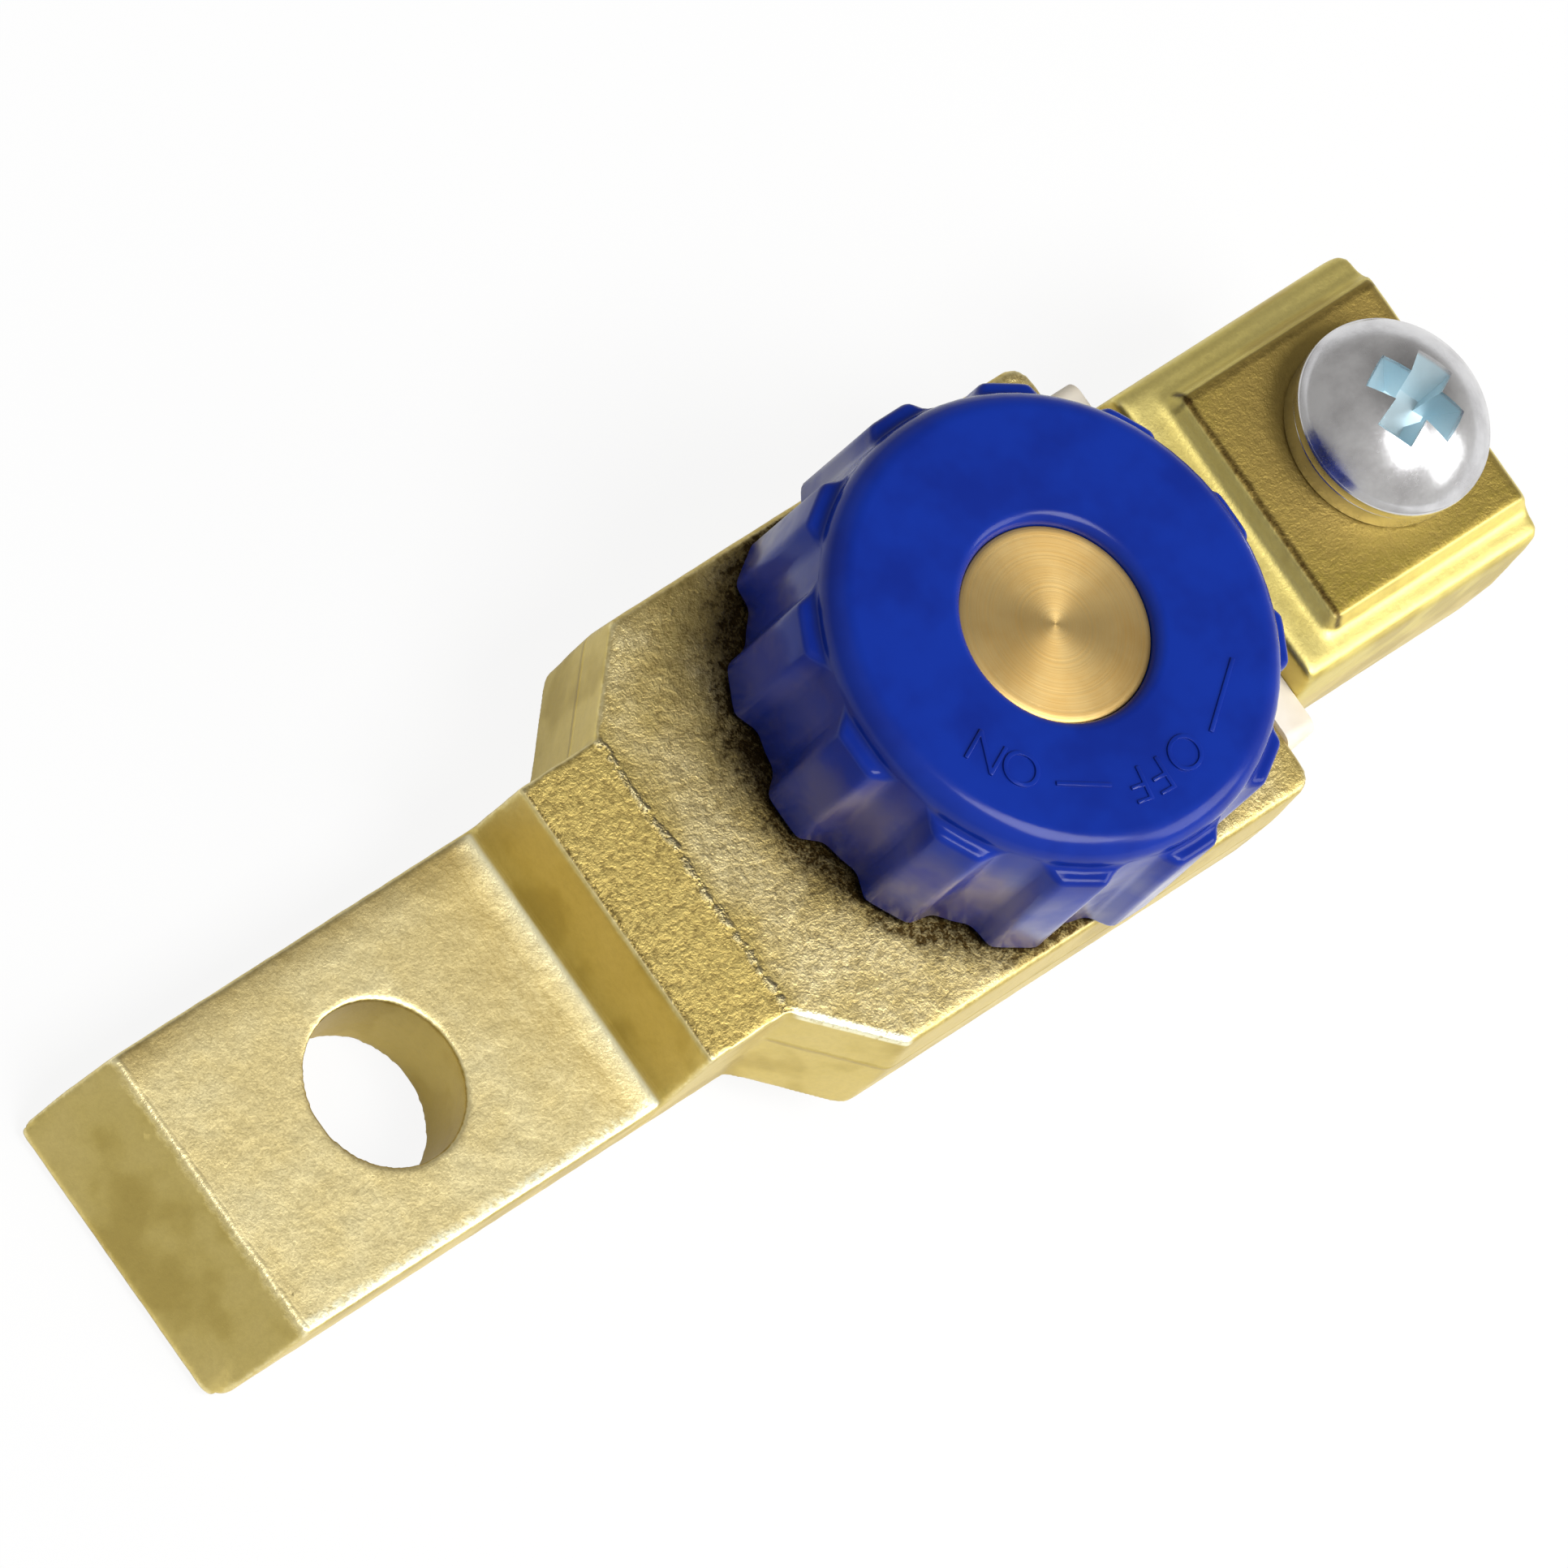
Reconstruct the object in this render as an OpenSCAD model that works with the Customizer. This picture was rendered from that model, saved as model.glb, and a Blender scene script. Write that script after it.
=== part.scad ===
// Battery terminal disconnect switch: a lug casting and a terminal casting, kept apart by a
// nylon sleeve. A knob with a threaded stud presses on the blade of the terminal casting to
// close the circuit, and lifts off it to open the circuit. Millimetres, +Z up, origin on the
// axis of the lug hole at the underside, +X toward the clamp screw.

/* [Lug casting] */
// Width of the tongue that is bolted to the battery lead
tongue_w = 19.3; // [17:0.1:22]
// Thickness of the tongue
tongue_t = 6; // [5:0.1:7]
// Diameter of the lug hole
lug_hole_d = 10; // [8:0.1:11]
// Distance from the lug hole to the upper edge of the end ramp
ramp_top_x = 13.8; // [11:0.1:16]
// Length of the end ramp along the tongue
ramp_run = 4.7; // [2:0.1:6]
// Distance from the lug hole to the foot of the step
step_x = 14.35; // [12:0.05:16]
// Length of the neck between the step and the wide plate
neck_l = 6.25; // [4:0.05:8]
// Fall of the neck's top face toward the step
neck_fall = 0.45; // [0:0.05:1]
// Height of the top face of the plate over the underside
plate_top = 12.65; // [12:0.05:14]
// Height of the underside of the plate's side wings
wing_z = 3; // [1.5:0.1:4]
// Width of the wide plate
plate_w = 30.1; // [27:0.1:33]
// Length of the plate's slanted shoulders along the switch
shoulder_l = 5.7; // [4:0.1:7]
// Length of the wide plate along the switch, its shoulders included
plate_l = 38.4; // [36.5:0.1:41]
// Height of the mould parting line under the top face
parting_drop = 3.9; // [2:0.1:5]
// Draft of the side faces on each side of the parting line
draft = 0.3; // [0.1:0.05:0.5]
// Radius of the plate's two end corners, in plan
end_corner_r = 2; // [1:0.1:3]
// Radius of the plate's shoulder corners, in plan
shoulder_r = 1; // [0.4:0.1:2]
// Radius of the plate's long top edges
edge_r = 0.5; // [0.3:0.1:1.2]
// Width of the keel under the plate
keel_w = 26; // [24:0.1:28]
// Distance from the plate's shoulder line to the keel's end
keel_inset = 6; // [5.5:0.1:8]

/* [Pocket and nylon sleeve] */
// Thickness of the pocket's floor
floor_t = 2; // [1.5:0.1:2.4]
// Height of the pocket
pocket_h = 5.2; // [5:0.1:6]
// Width of the pocket
pocket_w = 20; // [19:0.1:21]
// Length of the pocket
pocket_l = 30.5; // [28:0.1:32]
// Gap between the sleeve and the pocket on each side
sleeve_gap = 0.05; // [0.03:0.01:0.1]
// Wall of the sleeve above and below the blade
sleeve_wall = 1; // [0.8:0.1:1.2]
// Wall of the sleeve beside the blade
sleeve_side = 1.1; // [0.8:0.1:1.6]
// Thickness of the sleeve's end flange
flange_t = 2.1; // [1.5:0.1:3]
// Width of the sleeve's end flange
flange_w = 24.4; // [22.5:0.1:26]
// Height of the flange's underside
flange_z = 0.6; // [0.3:0.1:1.2]

/* [Terminal casting] */
// Length of the terminal block
block_l = 19; // [17:0.1:21]
// Width of the terminal block at its base
block_w = 20.9; // [20:0.1:22]
// Amount by which each side of the block leans in toward its top
block_lean = 0.5; // [0.2:0.05:0.7]
// Height of the block's underside
block_z = 4.3; // [3.8:0.1:4.6]
// Height of the clamping pad's face
pad_top = 16.2; // [15:0.1:17.5]
// Width of the clamping pad
pad_w = 15.7; // [14.5:0.1:16.2]
// Distance from the block's inner face to the pad
pad_inset = 2.9; // [2:0.1:3.5]
// Radius of the pad's outer end edge
pad_end_r = 1; // [0.6:0.1:1.4]
// Depth of the ledge round the pad, under the pad's face
ledge_drop = 1.1; // [0.7:0.05:1.4]
// Radius of the fillet between the ledge and the pad's sides
ledge_fillet = 0.8; // [0.4:0.1:1]
// Radius of the ledge's outer edge
ledge_edge_r = 0.9; // [0.4:0.1:1.1]
// Radius of the pad's edges
pad_edge_r = 0.25; // [0.1:0.05:0.4]
// Radius of the block's upright corners
block_r = 1.6; // [0.8:0.1:2.4]
// Length by which the block's outer end is undercut below its parting line
block_undercut = 0.8; // [0.3:0.1:1.2]
// Height of the undercut's top over the block's underside
undercut_h = 5; // [3:0.1:6]
// Gap between the blade and the sleeve on each side
blade_gap = 0.05; // [0.03:0.01:0.1]
// Clearance between the blade's tip and the end of the sleeve's cavity
blade_tip_gap = 0.2; // [0.1:0.05:0.5]

/* [Contact stud and clip] */
// Distance from the lug hole to the knob's axis
knob_x = 42.9; // [41.5:0.1:44]
// Diameter of the stud's thread
stud_d = 10; // [9:0.5:11]
// Radial clearance of the stud in the plate
stud_gap = 0.05; // [0.03:0.01:0.08]
// Diameter of the stud's guide pin
pilot_d = 5; // [4:0.1:5.4]
// Radial clearance of the guide pin in its bush
pilot_gap = 0.05; // [0.03:0.01:0.08]
// Length of the guide pin
pilot_l = 2.7; // [2.4:0.1:2.9]
// Wall of the nylon bush in the blade
bush_wall = 0.95; // [0.7:0.05:1.1]
// Gap between the closed contact faces
contact_gap = 0.02; // [0.01:0.01:0.05]
// Distance from the contact face to the clip's groove
clip_land = 0.7; // [0.6:0.05:0.8]
// Thickness of the retaining clip
clip_t = 0.8; // [0.6:0.05:0.9]
// Outer diameter of the retaining clip
clip_d = 13.2; // [12.4:0.1:13.6]
// Depth of the clip's groove in the stud
groove_depth = 0.8; // [0.5:0.1:1]
// Clearance of the clip in its groove
clip_gap = 0.04; // [0.02:0.01:0.06]
// Diameter of the recess under the plate in which the clip travels
recess_d = 14.4; // [14:0.1:15]
// Depth of that recess over the pocket's roof
recess_h = 2.2; // [2.1:0.05:2.6]
// Diameter of the stud's head, seen in the knob's top
stud_head_d = 12.1; // [11.5:0.1:12.6]
// Width across flats of the hexagon that locks the stud in the knob
stud_hex = 15; // [14:0.1:15.5]
// Thickness of that hexagon
stud_hex_t = 4; // [3:0.1:5]
// Height of the hexagon's underside over the knob's base
stud_hex_z = 3; // [2:0.1:4]

/* [Knob] */
// Height of the knob
knob_h = 12.2; // [11:0.1:14]
// Gap between the knob and the plate when the switch is closed
knob_gap = 0.15; // [0.1:0.05:0.3]
// Diameter of the knob's cap and of its flutes
cap_d = 28.7; // [27.5:0.1:30]
// Radius of the cap's top edge
cap_r = 1.9; // [1:0.1:2.5]
// Number of grip ribs
rib_count = 12; // [8:1:14]
// Distance by which the ribs stand out past the cap at the knob's base
rib_out = 1.1; // [0.9:0.05:1.8]
// Distance by which the ribs stand out past the cap at their top
rib_out_top = 0.6; // [0.5:0.05:0.9]
// Width of a rib's outer face
rib_w = 3; // [2:0.1:3.6]
// Width of a rib where it meets the cap
rib_foot_w = 5; // [4.2:0.1:6]
// Drop from the cap's top to the ribs' tops
rib_drop = 2.9; // [2.6:0.1:4]
// Height of the bevel on a rib's top
rib_bevel = 0.4; // [0.2:0.05:0.5]
// Depth of the stud's face under the cap's top
stud_sink = 0.8; // [0.4:0.1:1.5]
// Radius of the rounded edge of the cap's centre hole
eye_r = 0.8; // [0.4:0.1:1.2]
// Thickness of the cap over the moulded hollow
cap_t = 3.4; // [2.6:0.1:4]
// Thickness of the knob's skirt at its flutes
skirt_t = 2; // [1.6:0.1:2.6]
// Outer diameter of the knob's hub
hub_d = 20.4; // [19.6:0.1:21]
// Number of stiffening webs inside the knob
web_count = 6; // [4:1:8]
// Thickness of a stiffening web
web_t = 1.4; // [1:0.1:2]

/* [Clamp screw and washer] */
// Distance from the block's outer face to the screw's axis
screw_inset = 6.4; // [6:0.1:9]
// Diameter of the screw's thread
screw_d = 6; // [5:0.5:6]
// Radial clearance of the screw in the block
screw_gap = 0.05; // [0.03:0.01:0.08]
// Length of the screw under its head
screw_l = 12; // [10:0.5:14]
// Diameter of the screw's head
head_d = 12.2; // [11:0.1:12.6]
// Height of the screw's head
head_h = 4.4; // [3.6:0.1:5]
// Height of the head's straight rim
rim_h = 1; // [0.6:0.1:1.4]
// Diameter of the circle round the cross recess
cross_d = 6.9; // [6:0.1:7.4]
// Width of a wing of the cross recess near the screw's axis
cross_w = 1.3; // [1:0.1:1.6]
// Width of a wing at its outer end
cross_tip_w = 2; // [1.6:0.1:2.4]
// Depth of the cross recess
cross_h = 3; // [2:0.1:3.4]
// Turn of the cross recess about the screw's axis
cross_turn = 24; // [0:1:89]
// Outer diameter of the spring washer
washer_d = 11.8; // [10.5:0.1:12.2]
// Thickness of the spring washer
washer_t = 1.6; // [1.2:0.1:2]
// Radial clearance of the spring washer round the screw
washer_gap = 0.1; // [0.08:0.01:0.3]
// Width of the spring washer's split
split_w = 0.7; // [0.4:0.1:1.2]
// Slant of the split
split_slant = 20; // [10:1:30]

/* [Hidden] */
$fn = 96;

brass = "#c2a95c";
turned_brass = "#d0a868";
nylon = "#efe9df";
blue = "#12309a";
zinc = "#c9ccd2";
steel = "#8d9096";

// Small overlap used where one cutter must pass through a face
eps = 0.01;
// Pieces of each rounded corner
arc_n = 6;

crease_x = step_x + neck_l;
plate_end_x = crease_x + plate_l;
pocket_x = plate_end_x - pocket_l;
pocket_top = floor_t + pocket_h;
sleeve_x = pocket_x + sleeve_gap;
sleeve_z0 = floor_t + sleeve_gap;
sleeve_z1 = pocket_top - sleeve_gap;
sleeve_w = pocket_w - 2 * sleeve_gap;
cavity_x = sleeve_x + sleeve_side;
cavity_w = sleeve_w - 2 * sleeve_side;
blade_z0 = sleeve_z0 + sleeve_wall + blade_gap;
blade_z1 = sleeve_z1 - sleeve_wall - blade_gap;
blade_x = cavity_x + blade_tip_gap;
blade_w = cavity_w - 2 * blade_gap;
block_x = plate_end_x + flange_t;
block_end_x = block_x + block_l;
ledge_z = pad_top - ledge_drop;
pad_x0 = block_x + pad_inset;
screw_x = block_end_x - screw_inset;
screw_r = screw_d / 2;
head_z = pad_top + washer_t;

contact_z = blade_z1 + contact_gap;
knob_z0 = plate_top + knob_gap;
knob_z1 = knob_z0 + knob_h;
stud_top = knob_z1 - stud_sink;
stud_r = stud_d / 2;
pilot_r = pilot_d / 2;
bush_r = pilot_r + pilot_gap + bush_wall;
groove_z0 = contact_z + clip_land;
groove_z1 = groove_z0 + clip_t + 2 * clip_gap;
groove_r = stud_r - groove_depth;
clip_bore_r = groove_r + clip_gap;
slot_r = clip_d / 2 + (recess_d - clip_d) / 2 + clip_gap;
cap_radius = cap_d / 2;
head_r = stud_head_d / 2;
rib_foot_r = cap_radius - skirt_t / 2;
rib_base_r = cap_radius + rib_out;
rib_top_r = cap_radius + rib_out_top;
rib_top_z = knob_h - rib_drop;

// A vector of length one
function unit(v) = v / norm(v);

// The points of one corner at p, between its neighbours a and b, rounded to radius r
function corner(p, a, b, r) = r <= 0 ? [p] :
    let (u = unit(a - p), v = unit(b - p), half = acos(u * v) / 2,
         c = p + unit(u + v) * r / sin(half), s = p + u * r / tan(half) - c,
         e = p + v * r / tan(half) - c, a0 = atan2(s[1], s[0]), d = atan2(e[1], e[0]) - a0,
         turn = d > 180 ? d - 360 : d < -180 ? d + 360 : d)
    [for (i = [0:arc_n]) c + r * [cos(a0 + turn * i / arc_n), sin(a0 + turn * i / arc_n)]];

// An outline whose corners are given as [x, y, radius]
function rounded(p) = let (n = len(p), at = [for (q = p) [q[0], q[1]]])
    [for (i = [0:n - 1]) each corner(at[i], at[(i + n - 1) % n], at[(i + 1) % n], p[i][2])];

// Both halves of an outline given for y >= 0, from its first point to its last
function mirrored(p) = concat(p, [for (i = [len(p) - 1:-1:0]) [p[i][0], -p[i][1], p[i][2]]]);

// The same for an outline in y and z, mirrored in y
function mirrored_section(p) = concat(p, [for (i = [len(p) - 1:-1:0]) [-p[i][0], p[i][1], p[i][2]]]);

// A section drawn in y and z, swept along X from x0 to x1
module along_x(x0, x1) {
    translate([x0, 0, 0]) rotate([90, 0, 90]) linear_extrude(x1 - x0) children();
}

// A section drawn in x and z, swept along Y over the width w about the middle
module along_y(w) {
    translate([0, w / 2, 0]) rotate([90, 0, 0]) linear_extrude(w) children();
}

// The stepped side of the lug casting, in x and z
module lug_side() {
    polygon(rounded([
        [-ramp_top_x - ramp_run, 0, 0.3], [-ramp_top_x, tongue_t, 0.3], [step_x, tongue_t, 0.2],
        [step_x + draft, plate_top - neck_fall, 0.3], [crease_x, plate_top, 0],
        [plate_end_x, plate_top, edge_r], [plate_end_x, 0, 0.5]]));
}

// The tongue and neck in plan
module tongue_plan() {
    polygon(rounded(mirrored([
        [-ramp_top_x - ramp_run, tongue_w / 2, 0.8],
        [crease_x + shoulder_l, tongue_w / 2, 0]])));
}

// The wide plate in plan
module plate_plan() {
    polygon(rounded(mirrored([
        [crease_x, tongue_w / 2, shoulder_r], [crease_x + shoulder_l, plate_w / 2, shoulder_r],
        [plate_end_x, plate_w / 2, end_corner_r]])));
}

// The plate's cross-section in y and z, widest at the parting line
module plate_section() {
    polygon(rounded(mirrored_section([
        [plate_w / 2 - draft / 2, wing_z, 0.5], [plate_w / 2, plate_top - parting_drop, 0],
        [plate_w / 2 - draft, plate_top, edge_r]])));
}

// The tongue's cross-section in y and z
module tongue_section() {
    polygon(rounded(mirrored_section([
        [tongue_w / 2 - draft / 2, 0, 0.5], [tongue_w / 2, tongue_t / 2, 0],
        [tongue_w / 2 - draft / 2, plate_top + 1, 0]])));
}

// The keel under the plate, which holds the pocket's floor
module keel() {
    linear_extrude(wing_z + eps) polygon(rounded(mirrored([
        [crease_x + keel_inset, keel_w / 2, shoulder_r], [plate_end_x, keel_w / 2, end_corner_r]])));
}

module lug_casting() {
    color(brass) difference() {
        intersection() {
            along_y(plate_w + 2) lug_side();
            union() {
                intersection() {
                    linear_extrude(plate_top + 1) tongue_plan();
                    along_x(-ramp_top_x - ramp_run - 1, plate_end_x) tongue_section();
                }
                intersection() {
                    linear_extrude(plate_top + 1) plate_plan();
                    along_x(crease_x - 1, plate_end_x + 1) plate_section();
                }
                keel();
            }
        }
        translate([0, 0, -1]) cylinder(h = plate_top, d = lug_hole_d);
        translate([pocket_x, -pocket_w / 2, floor_t]) cube([pocket_l + 1, pocket_w, pocket_h]);
        translate([knob_x, 0, pocket_top - eps]) cylinder(h = recess_h + eps, d = recess_d);
        translate([knob_x, 0, pocket_top]) cylinder(h = plate_top, r = stud_r + stud_gap);
    }
}

// The block's cross-section in y and z, with a ledge on each side of the pad
module block_section() {
    polygon(rounded(mirrored_section([
        [block_w / 2 - draft / 2, block_z, 0.6], [block_w / 2, block_z + undercut_h, 0.4],
        [block_w / 2 - block_lean, ledge_z, ledge_edge_r], [pad_w / 2 + draft, ledge_z, ledge_fillet],
        [pad_w / 2, pad_top, pad_edge_r]])));
}

// The block in plan
module block_plan() {
    polygon(rounded([
        [block_x, block_w / 2 + 1, 0], [block_x, -block_w / 2 - 1, 0],
        [block_end_x, -block_w / 2, block_r], [block_end_x, block_w / 2, block_r]]));
}

// The block's side in x and z, with the ledge at its inner end and the undercut at its outer end
module block_side() {
    polygon(rounded([
        [block_x, block_z, 0], [block_end_x - block_undercut, block_z, 0.6],
        [block_end_x - block_undercut, block_z + undercut_h, 0.4],
        [block_end_x, block_z + undercut_h + block_undercut, 0.6],
        [block_end_x, pad_top, pad_end_r], [pad_x0, pad_top, pad_edge_r],
        [pad_x0 - draft, ledge_z, ledge_fillet], [block_x, ledge_z, 0.4]]));
}

module terminal_casting() {
    color(brass) difference() {
        union() {
            intersection() {
                along_x(block_x, block_end_x) block_section();
                along_y(block_w + 2) block_side();
                linear_extrude(pad_top + 1) block_plan();
            }
            translate([blade_x, -blade_w / 2, blade_z0])
                cube([block_x + block_undercut - blade_x, blade_w, blade_z1 - blade_z0]);
        }
        translate([knob_x, 0, blade_z0 - 1]) cylinder(h = pocket_h, r = bush_r);
        translate([screw_x, 0, block_z - 1]) cylinder(h = pad_top, r = screw_r + screw_gap);
    }
}

// The sleeve's top wall is slotted, so that it slides in past the stud's clip
module insulating_sleeve() {
    color(nylon) difference() {
        union() {
            translate([sleeve_x, -sleeve_w / 2, sleeve_z0])
                cube([block_x - sleeve_x, sleeve_w, sleeve_z1 - sleeve_z0]);
            along_x(plate_end_x, block_x) polygon(rounded(mirrored_section([
                [flange_w / 2, flange_z, 0.8], [flange_w / 2, plate_top, 0.8]])));
        }
        translate([cavity_x, -cavity_w / 2, sleeve_z0 + sleeve_wall])
            cube([block_x - cavity_x + 1, cavity_w, blade_z1 - blade_z0 + 2 * blade_gap]);
        translate([knob_x, 0, blade_z1]) cylinder(h = pocket_h, r = slot_r);
        translate([sleeve_x - 1, -slot_r, blade_z1]) cube([knob_x - sleeve_x + 1, 2 * slot_r, pocket_h]);
    }
}

module blade_bush() {
    color(nylon) translate([knob_x, 0, blade_z0]) difference() {
        cylinder(h = blade_z1 - blade_z0, r = bush_r);
        translate([0, 0, -1]) cylinder(h = pocket_h, r = pilot_r + pilot_gap);
    }
}

// The hexagon on the stud's head, round which the knob is moulded
module stud_hexagon() {
    translate([0, 0, stud_hex_z]) cylinder(h = stud_hex_t, d = stud_hex / cos(30), $fn = 6);
}

module contact_stud() {
    color(turned_brass) translate([knob_x, 0, 0]) {
        rotate_extrude() polygon([
            [0, contact_z - pilot_l], [pilot_r - 0.4, contact_z - pilot_l],
            [pilot_r, contact_z - pilot_l + 0.4], [pilot_r, contact_z], [stud_r, contact_z],
            [stud_r, groove_z0], [groove_r, groove_z0], [groove_r, groove_z1], [stud_r, groove_z1],
            [stud_r, knob_z0], [head_r, knob_z0], [head_r, stud_top], [0, stud_top]]);
        translate([0, 0, knob_z0]) stud_hexagon();
    }
}

// A clip whose mouth lets it spring over the stud's groove
module stud_clip() {
    mouth = clip_bore_r * 1.5;
    color(steel) translate([knob_x, 0, groove_z0 + clip_gap]) difference() {
        cylinder(h = clip_t, d = clip_d);
        translate([0, 0, -1]) cylinder(h = clip_t + 2, r = clip_bore_r);
        translate([0, -mouth / 2, -1]) cube([clip_d, mouth, clip_t + 2]);
    }
}

// The knob's turned form under its ribs, with the hole for the stud's head in its middle
module cap_body() {
    rotate_extrude() polygon(rounded([
        [head_r, 0, 0], [cap_radius, 0, 0], [cap_radius, knob_h, cap_r], [head_r, knob_h, eye_r]]));
}

// One grip rib: slanted sides in plan, and in profile an outer face that leans in toward its top
module grip_rib() {
    intersection() {
        linear_extrude(rib_top_z) polygon([
            [rib_foot_r, -rib_foot_w / 2], [cap_radius, -rib_foot_w / 2], [rib_base_r, -rib_w / 2],
            [rib_base_r, rib_w / 2], [cap_radius, rib_foot_w / 2], [rib_foot_r, rib_foot_w / 2]]);
        along_y(rib_foot_w) polygon([
            [rib_foot_r, 0], [rib_base_r, 0], [rib_top_r, rib_top_z - rib_bevel],
            [rib_top_r - rib_bevel, rib_top_z], [rib_foot_r, rib_top_z]]);
    }
}

// The moulded hollow between the hub and the skirt, split by webs
module knob_hollow() {
    difference() {
        rotate_extrude() translate([hub_d / 2, -1])
            square([cap_radius - skirt_t - hub_d / 2, knob_h - cap_t + 1]);
        for (i = [0:web_count - 1])
            rotate(i * 360 / web_count) translate([0, -web_t / 2, -2]) cube([cap_radius, web_t, knob_h]);
    }
}

module knob() {
    color(blue) translate([knob_x, 0, knob_z0]) difference() {
        union() {
            cap_body();
            for (i = [0:rib_count - 1]) rotate(i * 360 / rib_count) grip_rib();
        }
        knob_hollow();
        stud_hexagon();
    }
}

// The cross recess: four wings that flare outward, trimmed by a cone
module cross_recess() {
    reach = cross_d / 2;
    intersection() {
        union() for (i = [0:3]) rotate(cross_turn + 90 * i) linear_extrude(cross_h + 1)
            polygon([[0, -cross_w / 2], [cross_w / 2, -cross_w / 2], [reach, -cross_tip_w / 2],
                     [reach, cross_tip_w / 2], [cross_w / 2, cross_w / 2], [0, cross_w / 2]]);
        cylinder(h = cross_h + 1, r1 = cross_d / 5, r2 = cross_d / 2 * (cross_h + 1) / cross_h);
    }
}

module clamp_screw() {
    dome_r = (pow(head_d / 2, 2) + pow(head_h - rim_h, 2)) / (2 * (head_h - rim_h));
    dome_a = asin(head_d / 2 / dome_r);
    color(zinc) translate([screw_x, 0, head_z]) difference() {
        rotate_extrude() polygon(concat(
            [[0, -screw_l], [screw_r - 0.5, -screw_l], [screw_r, 0.5 - screw_l], [screw_r, 0],
             [head_d / 2 - 0.4, 0], [head_d / 2, 0.4]],
            [for (i = [0:10]) let (a = dome_a * (1 - i / 10))
                [dome_r * sin(a), head_h - dome_r * (1 - cos(a))]]));
        translate([0, 0, head_h - cross_h]) cross_recess();
    }
}

module spring_washer() {
    color(zinc) translate([screw_x, 0, pad_top]) difference() {
        cylinder(h = washer_t, d = washer_d);
        translate([0, 0, -1]) cylinder(h = washer_t + 2, r = screw_r + washer_gap);
        translate([0, 0, washer_t / 2]) rotate([split_slant, 0, 0])
            translate([0, -split_w / 2, -washer_t * 2]) cube([washer_d, split_w, washer_t * 4]);
    }
}

lug_casting();
terminal_casting();
insulating_sleeve();
blade_bush();
contact_stud();
stud_clip();
knob();
clamp_screw();
spring_washer();
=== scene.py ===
"""Looks of a battery terminal disconnect switch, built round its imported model.

Every piece is modelled in millimetres where the model has it, then brought to metres.
"""

import logging
import math
from collections.abc import Callable, Sequence
from dataclasses import dataclass
from enum import Enum

import bmesh
import bpy
from mathutils import Matrix, Vector
from mathutils.kdtree import KDTree


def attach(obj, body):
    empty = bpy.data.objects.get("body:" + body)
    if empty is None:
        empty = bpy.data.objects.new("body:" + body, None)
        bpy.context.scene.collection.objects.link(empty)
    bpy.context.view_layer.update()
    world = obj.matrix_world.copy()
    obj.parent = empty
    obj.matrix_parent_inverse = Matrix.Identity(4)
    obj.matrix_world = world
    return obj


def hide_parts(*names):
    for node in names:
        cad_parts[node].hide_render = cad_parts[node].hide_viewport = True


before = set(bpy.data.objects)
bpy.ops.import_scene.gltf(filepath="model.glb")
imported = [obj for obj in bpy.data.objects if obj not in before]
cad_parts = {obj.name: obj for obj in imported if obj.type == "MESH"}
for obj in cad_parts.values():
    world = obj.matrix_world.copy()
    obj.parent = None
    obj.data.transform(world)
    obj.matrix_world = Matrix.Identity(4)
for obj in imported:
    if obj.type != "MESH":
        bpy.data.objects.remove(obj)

LOG = logging.getLogger("switch")
MM = 0.001

Colour = tuple[float, float, float, float]
Point = tuple[float, float, float]


def paint(red: float, green: float, blue: float) -> Colour:
    """Turn a colour as a screen shows it into the linear one that a socket takes.

    Args:
        red: Red from 0 to 255.
        green: Green from 0 to 255.
        blue: Blue from 0 to 255.

    Returns:
        The linear colour with an alpha of 1.
    """
    parts = [c / 255 for c in (red, green, blue)]
    light = [c / 12.92 if c <= 0.04045 else ((c + 0.055) / 1.055) ** 2.4 for c in parts]
    return (light[0], light[1], light[2], 1.0)


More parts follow.
